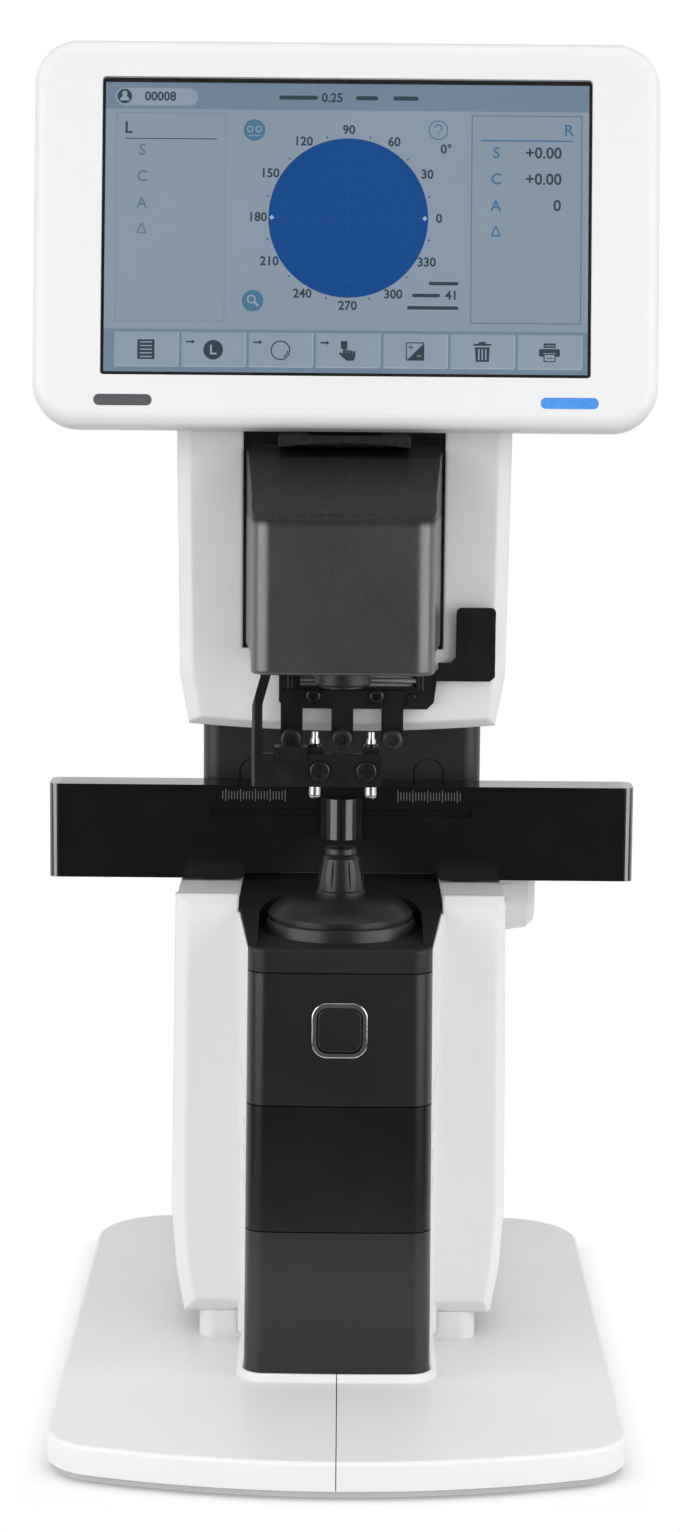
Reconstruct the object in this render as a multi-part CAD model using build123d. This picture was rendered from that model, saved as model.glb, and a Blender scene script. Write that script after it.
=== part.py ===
from build123d import *
import math
import os

# Auto lensmeter, millimetres. The origin is on the table under the middle of the base:
# +X to the user's right, -Y towards the user, +Z up.

# Base
BASE_W = 177.0
BASE_D = 265.0
BASE_TOP = 12.0
PAN_LOW = 1.0
PAN_TOP = 3.1
BASE_WALL = 3.0
SEAM = 0.3
LIP_W = 2.4
LIP_H = 2.2
FRONT_BOW = 16.7
FOOT_R = 9.0

# Column with the measure button
COL_FRONT = -58.3
COL_HALF_TOP = 29.2
COL_HALF_FOOT = 29.85
COL_BACK = 15.0
COL_CORE = 26.9
COL_BOW = 0.8
COL_CORNER = 6.5
COL_GAP = 0.4
PANEL_BACK = -49.6
WING_FRONT = -49.3
WING_T = 1.3
SEAM_LOW = 60.6
SEAM_MID = 101.5
SEAM_CAP = 144.3
CAP_TOP = 152.0
RIM_T = 1.4
WELL_R = 26.3
BUTTON_Z = 126.2
BUTTON_W = 14.1
RING_W = 17.8

# Optical axis and lens rest
AXIS_Y = -24.0
RING_R = 23.8
DOME_R = 23.3
NOSE_TOP_Z = 178.8

# Lower body and neck
WALL = 2.5
BODY_FRONT = -18.3
BODY_BACK = 95.0
BODY_HALF_TOP = 53.9
BODY_HALF_FOOT = 55.0
BODY_BOTTOM = 21.4
DECK_Z = 159.6
BODY_TOP = 162.2
BODY_LIP = 4.2
SLOT_TOP = 33.2
SLOT_FOOT = 32.0
NECK_FRONT = 40.0
NECK_HALF = 47.5
REAR_FACE = 112.0

# Head
HEAD_FRONT = -10.4
HEAD_BOTTOM = 215.6
HEAD_HALF = 54.0
HEAD_SLOT = 32.5
HEAD_SLOT_Z = 242.0
FRAME_Z = 264.0
NOSE_HALF = 28.7
NOSE_FLARE = 31.4
NOSE_FLOOR = 238.2
BARREL_R = 9.4

# Monitor, drawn upright about its own centre and then leaned back
MON_W = 197.4
MON_H = 122.3
MON_T = 14.0
MON_BACK_T = 13.5
MON_CORNER = 14.0
MON_Y = -24.7
MON_Z = 374.5
MON_LEAN = 9.0
LCD_W = 154.3
LCD_H = 94.1
LCD_UP = 2.0
HINGE_Y = 4.0
HINGE_Z = 336.0
HINGE_PIN_R = 2.5
RUN_CLEAR = 0.05

# Sliding reading table
BAR_FRONT = 21.7
BAR_D = 16.0
BAR_HALF = 98.5
BAR_LOW = 160.6
BAR_HIGH = 192.4
ROD_X = 36.0
ROD_Z = 178.0
ROD_R = 4.0
PINION_Y = 60.0
PINION_Z = 153.4
MODULE = 1.0
PINION_TEETH = 16
RACK_X0 = 34.5
RACK_X1 = 40.5
KNOB_R = 17.0
KNOB_X0 = 54.8
KNOB_X1 = 67.2

# Lens presser and marking unit
PLATE_FRONT = -14.0
PLATE_T = 1.6
GUIDE_X = (-17.0, 25.4)
GUIDE_Y = -12.8
GUIDE_R = 1.5
GUIDE_LOW = 229.0
LEG_X = (-16.4, 0.0, 16.2)
TIP_Z = 213.5
MARK_FRONT = -35.6
MARK_T = 1.8
PIN_X = (-8.6, 9.3)
PIN_R = 1.92

SIDES = (-1, 1)
ON_SEAT = (Align.CENTER, Align.CENTER, Align.MIN)


def box(x0, x1, y0, y1, z0, z1):
    size = Box(abs(x1 - x0), y1 - y0, z1 - z0)
    return Pos((x0 + x1) / 2, (y0 + y1) / 2, (z0 + z1) / 2) * size


def rod(axis, r, start, end, a, b):
    """Cylinder along an axis: a and b are its two other coordinates, in X, Y, Z order."""
    mid = (start + end) / 2
    if axis == "X":
        return Pos(mid, a, b) * Rot(0, 90, 0) * Cylinder(r, end - start)
    if axis == "Y":
        return Pos(a, mid, b) * Rot(90, 0, 0) * Cylinder(r, end - start)
    return Pos(a, b, mid) * Cylinder(r, end - start)


def plan_solid(points, z0, z1, taper=0):
    """Polygon in plan, from z0 to z1."""
    face = make_face(Polyline(*points, close=True))
    return Pos(0, 0, z0) * extrude(face, z1 - z0, taper=taper)


def side_solid(points, x0, x1):
    """Polygon of (y, z) points, from x0 to x1."""
    wire = Polyline(*[(x0, y, z) for y, z in points], close=True)
    return extrude(make_face(wire), x1 - x0, dir=(1, 0, 0))


def front_solid(points, y0, y1):
    """Polygon of (x, z) points, from y0 to y1."""
    wire = Polyline(*[(x, y0, z) for x, z in points], close=True)
    return extrude(make_face(wire), y1 - y0, dir=(0, 1, 0))


def round_box(w, h, t, r):
    """Rounded rectangle w by h in XZ, centred, t thick from y 0 towards the back."""
    face = Plane.XZ * RectangleRounded(w, h, r)
    return extrude(face, t, dir=(0, 1, 0))


def fuse(shapes):
    total = shapes[0]
    for shape in shapes[1:]:
        total = total + shape
    return total


def half(side, solid):
    """One side of a solid that is split along the middle by the seam."""
    cut = box(SEAM / 2, 200, -200, 200, -10, 500)
    return solid & (cut if side > 0 else mirror(cut, Plane.YZ))


def screw_head(r, h, drive="cross", reach=3.0):
    """Pan head on a short shank, facing +Z with its seat at z 0."""
    head = Cylinder(r, h, align=ON_SEAT)
    head = fillet(head.edges().group_by(Axis.Z)[-1], h * 0.35)
    shank = Pos(0, 0, -reach) * Cylinder(r * 0.5, reach, align=ON_SEAT)
    slot = Box(r * 1.2, r * 0.28, h)
    if drive == "cross":
        recess = slot + Rot(0, 0, 90) * slot
    else:
        recess = extrude(RegularPolygon(r * 0.5, 6), h, both=True)
    return head + shank - Pos(0, 0, h * 1.1) * recess


def base_outline(inset=0.0):
    """Plan of the base: bowed front edge, round corners."""
    half_w = BASE_W / 2 - inset
    back = BASE_D / 2 - inset
    front = -BASE_D / 2 + inset
    side_front = front + FRONT_BOW
    edge = Line((-half_w, back), (half_w, back))
    right = Line((half_w, back), (half_w, side_front))
    bow = ThreePointArc((half_w, side_front), (0, front), (-half_w, side_front))
    left = Line((-half_w, side_front), (-half_w, back))
    face = make_face(Curve() + [edge, right, bow, left])
    rear_corners = face.vertices().group_by(Axis.Y)[-1]
    face = fillet(rear_corners, 28 - inset)
    front_corners = [v for v in face.vertices() if abs(v.Y - side_front) < 0.01]
    return fillet(front_corners, 20 - inset)


def base_cover():
    """White top of the base with a bevelled lip round the column's foot."""
    shell = Pos(0, 0, PAN_TOP) * extrude(base_outline(), BASE_TOP - PAN_TOP)
    top = shell.edges().group_by(Axis.Z)[-1]
    shell = fillet(top, 1.4)
    room = extrude(base_outline(BASE_WALL), BASE_TOP - BASE_WALL)
    lip = Pos(0, 0, BASE_TOP - 0.5) * extrude(column_face(COL_HALF_FOOT, LIP_W), LIP_H + 0.5)
    lip = chamfer(lip.edges().group_by(Axis.Z)[-1], LIP_H - 0.3, LIP_W - 0.7)
    shell = shell - room + lip
    for x in SIDES:
        shell = shell + rod("Z", 7.0, BASE_TOP - 1, BODY_BOTTOM, x * 40, 78)
        shell = shell + rod("Z", 5.5, BASE_TOP - 1, BODY_BOTTOM, x * 40.4, -9.8)
        shell = shell + box(x * 31.5, x * 40.4, -15.3, -4.3, BASE_TOP - 1, BODY_BOTTOM)
    well = Pos(0, 0, BASE_TOP) * extrude(column_face(COL_HALF_FOOT, 0.15), 12)
    return shell - well - box(-31, 31, 79, 94, 0, 20)


def base_pan():
    pan = Pos(0, 0, PAN_LOW) * extrude(base_outline(1.0), PAN_TOP - PAN_LOW)
    walls = Pos(0, 0, PAN_TOP) * extrude(base_outline(3.4), 3.0)
    inner = Pos(0, 0, PAN_TOP) * extrude(base_outline(5.4), 3.0)
    ribs = [box(-80, 80, y - 1, y + 1, PAN_TOP, PAN_TOP + 5.6) for y in (-60, 0, 60)]
    ribs += [box(x - 1, x + 1, -90, 100, PAN_TOP, PAN_TOP + 5.6) for x in (-50, 50)]
    return fuse([pan, walls - inner] + ribs)


def rubber_feet():
    foot = Cylinder(FOOT_R, PAN_LOW, align=ON_SEAT)
    foot = chamfer(foot.edges().group_by(Axis.Z)[0], 0.3)
    return Compound([Pos(x * 70, y, 0) * foot for x in SIDES for y in (-95, 108)])


def column_face(half_w, grow=0.0):
    """Plan of the column: bowed front, round front corners, open run to the back."""
    w = half_w + grow
    front = COL_FRONT - grow
    side_y = front + COL_BOW
    bow = ThreePointArc((w, side_y), (0, front), (-w, side_y))
    back = COL_BACK + grow
    sides = Polyline((-w, side_y), (-w, back), (w, back), (w, side_y))
    face = make_face(Curve() + [bow, sides])
    corners = face.vertices().group_by(Axis.Y)[0]
    return fillet(corners, COL_CORNER + grow)


def column_half_at(z):
    share = (z - BASE_TOP) / (CAP_TOP - BASE_TOP)
    return COL_HALF_FOOT + (COL_HALF_TOP - COL_HALF_FOOT) * share


def column_panel(z0, z1):
    """Cover with short returns, clipped round the front of the column's core."""
    low = Pos(0, 0, z0) * column_face(column_half_at(z0))
    high = Pos(0, 0, z1) * column_face(column_half_at(z1))
    solid = loft([low, high], ruled=True) & box(-40, 40, -70, PANEL_BACK, z0, z1)
    core = box(-COL_CORE, COL_CORE, COL_FRONT + 3.4, COL_BACK + 5, z0 - 1, z1 + 1)
    return solid - core


def slot_half_at(z):
    share = (z - BASE_TOP) / (CAP_TOP - BASE_TOP)
    return SLOT_FOOT + (SLOT_TOP - SLOT_FOOT) * share


def wing_plan(z):
    """Plan of the right cheek: from the column's front corner out to the body's front."""
    column = column_half_at(z)
    slot = slot_half_at(z)
    points = [(column, WING_FRONT), (slot, BODY_FRONT), (slot + 1.2, BODY_FRONT + 1.6)]
    points += [(slot - WING_T, BODY_FRONT + 1.6), (column - WING_T, WING_FRONT)]
    return Pos(0, 0, z) * make_face(Polyline(*points, close=True))


def wing_slots():
    """Slanted joint line and three vent slots through the right cheek."""
    rise = 11.5
    joint = Pos(34, -35.5, 104.4) * Rot(rise, 0, 0) * Box(20, 29, 0.5)
    slots = [Pos(34, -41, z) * Rot(rise, 0, 0) * Box(20, 11, 1.1) for z in (72.0, 81.8, 91.5)]
    return fuse([joint] + slots)


def column_wings():
    """White cheeks beside the column, under the cap's sloping rim."""
    low = BASE_TOP + LIP_H + 0.15
    wing = loft([wing_plan(low), wing_plan(DECK_Z)], ruled=True)
    under = [(-60, 0), (-60, CAP_TOP - RIM_T - 0.2), (-52, CAP_TOP - RIM_T - 0.2)]
    under += [(-8, DECK_Z - RIM_T - 0.2), (-8, 0)]
    wing = (wing & side_solid(under, 20, 40)) - wing_slots()
    return wing + mirror(wing, Plane.YZ)


def column_control_panel():
    panel = column_panel(SEAM_MID + COL_GAP / 2, SEAM_CAP - COL_GAP / 2)
    hole = Pos(0, COL_FRONT - 2, BUTTON_Z) * round_box(RING_W - 1.4, RING_W - 1.4, 9, 4.4)
    return panel - hole


def button_ring():
    ring = Pos(0, COL_FRONT - 1.0, BUTTON_Z) * round_box(RING_W, RING_W, 1.0, 5.0)
    rim = ring.edges().group_by(Axis.Y)[0]
    ring = fillet(rim, 0.5)
    sleeve = Pos(0, COL_FRONT, BUTTON_Z) * round_box(RING_W - 1.4, RING_W - 1.4, 4.2, 4.4)
    bore = Pos(0, COL_FRONT - 2, BUTTON_Z) * round_box(BUTTON_W + 0.5, BUTTON_W + 0.5, 9, 3.7)
    return ring + sleeve - bore


def measure_button():
    cap = Pos(0, COL_FRONT - 0.7, BUTTON_Z) * round_box(BUTTON_W, BUTTON_W, 4.5, 3.5)
    cap = fillet(cap.edges().group_by(Axis.Y)[0], 0.6)
    stem = rod("Y", 2.4, COL_FRONT + 3, COL_FRONT + 9, 0, BUTTON_Z)
    return cap + stem


def column_frame():
    """Moulded core with a window for the button and a seat for the optics."""
    front = COL_FRONT + 3.4
    core = box(-COL_CORE, COL_CORE, front, COL_BACK, BASE_TOP, SEAM_CAP - COL_GAP / 2)
    room = box(-COL_CORE + 2, COL_CORE - 2, front + 2, COL_BACK - 2, BASE_TOP + 2, 200)
    window = box(-9, 9, front - 1, front + 3, BUTTON_Z - 9, BUTTON_Z + 9)
    shelf = box(-COL_CORE + 1, COL_CORE - 1, front + 1, COL_BACK - 1, 118, 120)
    vents = fuse([box(x * 30, x * 20, -42, -30, 66, 96) for x in SIDES])
    sight = box(-7, 7, COL_FRONT + 8, AXIS_Y + 7, 117, 121)
    recess = box(-9, 9, COL_FRONT + 3, COL_FRONT + 9, 117, 121)
    return core - room - window + (shelf - sight - recess) - vents


def column_cap():
    """Black top of the column: a well that widens and rises towards the back."""
    z0 = SEAM_CAP + COL_GAP / 2
    low = Pos(0, 0, z0) * column_face(COL_HALF_TOP)
    front = extrude(low, CAP_TOP - z0) & box(-40, 40, -70, PANEL_BACK, 140, 160)
    top = [e for e in front.edges().group_by(Axis.Z)[-1] if e.center().Y < PANEL_BACK - 0.1]
    front = fillet(top, 1.2)
    inside = WING_T + 0.15
    core = [(COL_HALF_TOP - inside, PANEL_BACK - 1), (SLOT_TOP - inside, BODY_FRONT)]
    core += [(SLOT_TOP - inside, NECK_FRONT - 0.2)]
    rim = [(COL_HALF_TOP, PANEL_BACK - 1), (SLOT_TOP - 0.3, BODY_FRONT)]
    rim += [(SLOT_TOP - 0.3, NECK_FRONT - 0.2)]
    core += [(-x, y) for x, y in reversed(core)]
    rim += [(-x, y) for x, y in reversed(rim)]
    slope = [(-60, CAP_TOP), (-52, CAP_TOP), (-8, DECK_Z), (50, DECK_Z)]
    under = [(y, z - RIM_T) for y, z in reversed(slope)]
    flange = plan_solid(rim, z0, DECK_Z) & side_solid(slope + under, -40, 40)
    inner = plan_solid(core, z0, DECK_Z) & side_solid(slope + [(50, z0), (-60, z0)], -40, 40)
    block = fuse([inner, flange, front])
    well_y = AXIS_Y + 0.5
    well = rod("Z", WELL_R, CAP_TOP, 170, 0, well_y)
    well = well + box(-WELL_R, WELL_R, -70, well_y, CAP_TOP, 170)
    block = block - well
    room = box(-COL_CORE + 2, COL_CORE - 2, -50, 36, z0 - 1, CAP_TOP - 2.4)
    light_hole = rod("Z", 8.6, 140, 170, 0, AXIS_Y)
    return block - room - light_hole


def turned(points, arcs=()):
    """Solid of revolution about the optical axis from (r, z) points; arcs bow a stretch."""
    edges = []
    count = len(points)
    bows = dict(arcs)
    for i in range(count):
        a = points[i]
        b = points[(i + 1) % count]
        if i in bows:
            mid = bows[i]
            edges.append(ThreePointArc((a[0], 0, a[1]), (mid[0], 0, mid[1]), (b[0], 0, b[1])))
        else:
            edges.append(Line((a[0], 0, a[1]), (b[0], 0, b[1])))
    face = make_face(Curve() + edges)
    return Pos(0, AXIS_Y, 0) * revolve(face, Axis.Z)


def dome_ring():
    outline = [(10, CAP_TOP), (RING_R + 0.7, CAP_TOP), (RING_R, CAP_TOP + 3.6)]
    outline += [(RING_R - 0.5, CAP_TOP + 4), (RING_R - 1.6, CAP_TOP + 4)]
    outline += [(RING_R - 1.6, CAP_TOP + 5), (10, CAP_TOP + 5)]
    return turned(outline)


def dome_cover():
    low = CAP_TOP + 5
    outline = [(10, low), (DOME_R, low), (DOME_R, low + 1), (8.4, 163.6), (8.4, 164.2)]
    outline += [(5.4, 164.2), (5.4, low + 4), (10, low + 2)]
    return turned(outline, [(2, (18.6, 161.9))])


def nosepiece():
    """Fluted cone that the lens rests on, with a flange and a ringed rim."""
    foot = 164.2
    rim = NOSE_TOP_Z
    outline = [(4.6, foot), (8.1, foot), (8.1, foot + 0.9), (7.5, foot + 1.4)]
    outline += [(6.0, rim - 3.2), (5.0, rim - 2.2), (5.3, rim - 1.6), (5.0, rim)]
    outline += [(3.9, rim), (3.9, rim - 3)]
    cone = turned(outline, [(3, (7.05, 171.0))])
    slit = Box(2.4, 0.7, 8.4)
    slit = fillet(slit.edges().filter_by(Axis.X), 0.3)
    slit = Pos(7.6, 0, 171) * Rot(0, -9, 0) * slit
    flutes = [Pos(0, AXIS_Y, 0) * Rot(0, 0, 22.5 + 45 * i) * slit for i in range(8)]
    return cone - fuse(flutes)


def cover_glass():
    return rod("Z", 5.4, 161.2, 162.4, 0, AXIS_Y) & rod("Z", 5.4, 160, 164, 0, AXIS_Y)


def hartmann_plate():
    """Disc with a grid of pinholes that splits the light into spots."""
    plate = rod("Z", 7.0, 149.0, 149.8, 0, AXIS_Y)
    pitch = 2.6
    holes = []
    for i in range(-2, 3):
        for j in range(-2, 3):
            if abs(i) + abs(j) < 4:
                holes.append(rod("Z", 0.5, 148, 151, i * pitch, AXIS_Y + j * pitch))
    return plate - fuse(holes)


def sensor_tube():
    tube = rod("Z", 8.6, 122, CAP_TOP + 5, 0, AXIS_Y) + rod("Z", 11, 120, 122, 0, AXIS_Y)
    return tube - rod("Z", 7.0, 119, 160, 0, AXIS_Y)


def sensor_board():
    board = box(-22, 22, AXIS_Y - 20, AXIS_Y + 20, 116.4, 118)
    chip = box(-6, 6, AXIS_Y - 6, AXIS_Y + 6, 118, 119.4)
    lead = box(-3, 3, COL_FRONT + 12, COL_FRONT + 20, 118, BUTTON_Z + 3)
    return board + lead + chip


def body_outline(z_low, inset=0.0, half_top=BODY_HALF_TOP, half_low=BODY_HALF_FOOT):
    """Front view of the lower body: sides draw in towards the foot."""
    t = inset
    low = z_low + t
    side = [(half_top - t, BODY_TOP - t), (half_low - t, 56)]
    side += [(half_low - 1.6 - t, 36), (half_low - 4.2 - t, low)]
    return side + [(-x, z) for x, z in reversed(side)]


def body_solid(inset=0.0):
    front = BODY_FRONT + inset
    solid = front_solid(body_outline(BODY_BOTTOM, inset), front, BODY_BACK - inset)
    back = BODY_BACK - inset
    rear = [e for e in solid.edges() if abs(e.center().Y - back) < 0.01 and abs(e.center().X) > 45]
    solid = fillet(rear, 5.0 - inset)
    edges = [e for e in solid.edges() if abs(e.center().Y - front) < 0.01]
    return chamfer(edges, 4.4, 3.2)


def body_shell():
    """Lower white body as one shell, before it is split along the middle."""
    deck = box(-70, 70, BODY_FRONT + BODY_LIP, 120, DECK_Z, 170)
    room = body_solid(WALL) & box(-70, 70, -30, 120, 0, DECK_Z - WALL)
    shell = body_solid() - deck - (room + box(-45, 45, 90, 100, 25, DECK_Z - WALL))
    faces = []
    for z in (10, 170):
        w = slot_half_at(z)
        plan = Polyline((-w, -40), (w, -40), (w, COL_BACK + 6), (-w, COL_BACK + 6), close=True)
        faces.append(Pos(0, 0, z) * make_face(plan))
    slot = loft(faces, ruled=True)
    cheeks = fuse([box(x * 31, x * (SLOT_TOP + WALL), BODY_FRONT + 2.6, COL_BACK + 8,
                       BODY_BOTTOM + 2, DECK_Z - 1) for x in SIDES])
    shell = shell + cheeks - slot
    shell = shell - box(-SLOT_TOP, SLOT_TOP, 0, NECK_FRONT, 140, 170) + column_wings()
    shell = shell - box(-43, 43, NECK_FRONT + WALL, BODY_BACK + 1, 140, 170)
    shell = shell - box(-31, 31, 79, 94, 20, 30)
    return shell - rod("X", 3.4, 40, 60, PINION_Y, PINION_Z)


def chassis_column():
    """Pressed channel that stands in the base and carries the head."""
    y0 = 80.0
    web = box(-30, 30, y0 + 10, y0 + 13, PAN_TOP, 300)
    flanges = [box(x * 27, x * 30, y0, y0 + 13, PAN_TOP, 300) for x in SIDES]
    windows = [box(-14, 14, y0, y0 + 20, z, z + 40) for z in (70, 120, 210)]
    channel = fuse([web] + flanges) - fuse(windows)
    return channel


def throat_cover():
    """Black neck skin with holes for the table's rods and rack."""
    outer = box(-NECK_HALF, NECK_HALF, NECK_FRONT, BODY_BACK, DECK_Z, HEAD_BOTTOM + 4)
    corners = [e for e in outer.edges().filter_by(Axis.Z) if e.center().Y < NECK_FRONT + 1]
    outer = fillet(corners, 6.0)
    room = box(-NECK_HALF + WALL, NECK_HALF - WALL, NECK_FRONT + WALL, BODY_BACK + 1, 150, 230)
    skin = outer - room - head_solid()
    for side in SIDES:
        skin = skin - rod("Y", ROD_R + 1, 30, 50, side * ROD_X, ROD_Z)
        ring = rod("Y", 5.4, 30, NECK_FRONT + 0.6, side * 29.7, 194.2)
        plug = rod("Y", 4.8, 30, NECK_FRONT + 0.6, side * 29.7, 194.2)
        skin = skin - (ring - plug)
    return skin - box(RACK_X0 - 1.5, RACK_X1 + 1.5, 30, 50, DECK_Z - 1, 170)


def slide_block():
    """Casting on the chassis that holds the rod bushes and the knob's bearing."""
    block = box(-45, 45, 46, 74, 170, 186)
    tail = box(-26, 26, 74, 90, 172, 184)
    bearing = box(26.5, 33.5, 52, 68, 146, 170)
    block = block + tail + bearing - rod("X", 3 + RUN_CLEAR, 20, 50, PINION_Y, PINION_Z)
    for side in SIDES:
        block = block - rod("Y", 6.5, 40, 80, side * ROD_X, ROD_Z)
    return block


def rod_bushes():
    tubes = []
    for side in SIDES:
        tube = rod("Y", 6.5, 45, 75, side * ROD_X, ROD_Z)
        tubes.append(tube - rod("Y", ROD_R + RUN_CLEAR, 40, 80, side * ROD_X, ROD_Z))
    return Compound(tubes)


def table_bar():
    """Long bar that squares the frame up, with an arch that clears the lens rest."""
    back = BAR_FRONT + BAR_D
    corners = [(-BAR_HALF, BAR_LOW), (-33.4, BAR_LOW)]
    lines = [Line(*corners)]
    lines.append(ThreePointArc((-33.4, BAR_LOW), (-24.6, 169.6), (-14.5, 174.7)))
    lines.append(Line((-14.5, 174.7), (14.5, 174.7)))
    lines.append(ThreePointArc((14.5, 174.7), (24.6, 169.6), (33.4, BAR_LOW)))
    rim = [(33.4, BAR_LOW), (BAR_HALF, BAR_LOW), (BAR_HALF, BAR_HIGH), (-BAR_HALF, BAR_HIGH)]
    lines.append(Polyline(*rim, corners[0]))
    face = Plane.XZ * make_face(Curve() + lines)
    bar = Pos(0, BAR_FRONT, 0) * extrude(face, BAR_D, dir=(0, 1, 0))
    ends = [e for e in bar.edges().filter_by(Axis.Z) if abs(e.center().X) > 90]
    bar = fillet(ends, 3.0)
    for side in SIDES:
        bar = bar - rod("Y", ROD_R, BAR_FRONT + 5, back + 1, side * ROD_X, ROD_Z)
    track = box(-44, 44, BAR_FRONT - 1, BAR_FRONT + 1.2, 182.2, 184.6)
    return bar - track


def table_rods():
    return Compound([rod("Y", ROD_R, BAR_FRONT + 5, 106, side * ROD_X, ROD_Z) for side in SIDES])


def rack_tooth():
    """Straight-sided tooth in side view, tip down, root on the rack's pitch line plus 1.25."""
    pitch_z = PINION_Z + MODULE * PINION_TEETH / 2
    slope = math.tan(math.radians(20))
    half_pitch = math.pi * MODULE / 4
    tip = half_pitch - MODULE * slope - 0.06
    root = half_pitch + 1.25 * MODULE * slope - 0.06
    return [(-root, pitch_z + 1.25), (-tip, pitch_z - 1), (tip, pitch_z - 1), (root, pitch_z + 1.25)]


def table_rack():
    pitch = math.pi * MODULE
    bar_back = BAR_FRONT + BAR_D
    root_z = PINION_Z + MODULE * PINION_TEETH / 2 + 1.25
    teeth = []
    for i in range(-4, 9):
        middle = PINION_Y + pitch * i
        points = [(middle + y, z) for y, z in rack_tooth()]
        teeth.append(side_solid(points, RACK_X0, RACK_X1))
    beam = box(RACK_X0, RACK_X1, bar_back, 88, root_z - 0.05, root_z + 3.6)
    return fuse([beam] + teeth)


def pinion():
    """Spur gear in mesh with the rack: a tooth space faces each rack tooth at rest."""
    pitch_r = MODULE * PINION_TEETH / 2
    tip_r = pitch_r + MODULE - 0.1
    root_r = pitch_r - 1.25 * MODULE
    wide = math.radians(360 / PINION_TEETH) * 0.245
    points = []
    for i in range(PINION_TEETH):
        middle = math.radians(90 + 360 * (i + 0.5) / PINION_TEETH)
        for turn, r in ((-1.6, root_r), (-0.88, pitch_r), (-0.34, tip_r)):
            points.append((r, middle + turn * wide))
        for turn, r in ((0.34, tip_r), (0.88, pitch_r), (1.6, root_r)):
            points.append((r, middle + turn * wide))
    outline = [(PINION_Y + r * math.cos(a), PINION_Z + r * math.sin(a)) for r, a in points]
    return side_solid(outline, RACK_X0 + 0.5, RACK_X1 - 0.5)


def knob_shaft():
    shaft = rod("X", 3.0, 24, KNOB_X1 - 3, PINION_Y, PINION_Z)
    return shaft + pinion()


def table_knob():
    """Turning knob with a drafted, finger-grooved rim and a dished face."""
    width = KNOB_X1 - KNOB_X0
    outline = [(0, 0), (KNOB_R, 0), (KNOB_R - 1.4, width - 2.6), (KNOB_R - 3.8, width)]
    outline += [(KNOB_R - 6, width), (KNOB_R - 7, width - 1), (0, width - 1)]
    face = make_face(Polyline(*[(r, 0, z) for r, z in outline], close=True))
    body = revolve(face, Axis.Z)
    body = body - fuse([Rot(0, 0, 20 * i) * Pos(KNOB_R + 0.7, 0, 5) * Cylinder(1.4, 20)
                        for i in range(18)])
    body = body - Cylinder(3.0, 2 * (width - 3))
    return Pos(KNOB_X0, PINION_Y, PINION_Z) * Rot(0, 90, 0) * body


def nose_pad_slider():
    """Half-round pillar for the nose pads, with a tongue in the bar's track."""
    back = BAR_FRONT - 0.3
    pillar = rod("Z", 6.5, 174.9, 188.6, 0, back) & box(-7, 7, back - 7, back, 170, 190)
    flats = box(-7, -4.9, back - 7, back + 1, 170, 190) + box(4.9, 7, back - 7, back + 1, 170, 190)
    body = pillar - flats
    wings = [box(x * 4.9, x * 6.9, back - 1.6, back, 174.9, 188.6) for x in SIDES]
    tongue = box(-6.9, 6.9, back - 0.5, BAR_FRONT + 1.0, 182.4, 184.4)
    return fuse([body] + wings + [tongue])


def head_outline(inset=0.0):
    """Front view of the head: round lower corners and a gently bowed lower edge."""
    t = inset
    top = 345 - t
    right = [(49.9 - t, HEAD_BOTTOM + 1.2 + t), (52.9 - t, 233), (HEAD_HALF - t, 308)]
    left = [(-x, z) for x, z in reversed(right)]
    sides = Polyline(right[0], *right[1:], (HEAD_HALF - t, top), (t - HEAD_HALF, top), *left)
    bottom = ThreePointArc(left[-1], (0, HEAD_BOTTOM - 1 + t), right[0])
    return make_face(Curve() + [sides, bottom])


def head_solid(inset=0.0):
    front = HEAD_FRONT + inset
    back = BODY_BACK - inset
    face = Plane.XZ * head_outline(inset)
    solid = Pos(0, front, 0) * extrude(face, back - front, dir=(0, 1, 0))
    rear = [e for e in solid.edges() if abs(e.center().Y - back) < 0.01 and abs(e.center().X) > 49.8]
    solid = fillet(rear, 5.0 - inset)
    edges = [e for e in solid.edges() if abs(e.center().Y - front) < 0.01]
    solid = chamfer(edges, 4.2, 3.0)
    t = inset
    profile = [(-20, 200), (-20, 311 - t), (-9, 313 - t), (4, 322 - t), (24, 333 - t)]
    profile += [(60, 342 - t), (120, 345 - t), (120, 200)]
    solid = solid & side_solid(profile, -80, 80)
    side_x = HEAD_HALF - t - 0.01
    rims = [e for e in solid.edges() if abs(e.center().X) > side_x and -8 < e.center().Y < 90]
    return fillet([e for e in rims if e.center().Z > 315], 2.2)


def head_shell():
    shell = head_solid() - (head_solid(WALL) + box(-45, 45, 90, 100, 222, 336))
    slot = box(-HEAD_SLOT, HEAD_SLOT, -30, 12, HEAD_SLOT_Z, 350)
    slot = slot + box(-29.2, 29.2, -30, 12, NOSE_FLOOR - 0.4, 350)
    return shell - slot - box(-43, 43, NECK_FRONT + WALL, BODY_BACK + 1, 210, 225)


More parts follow.
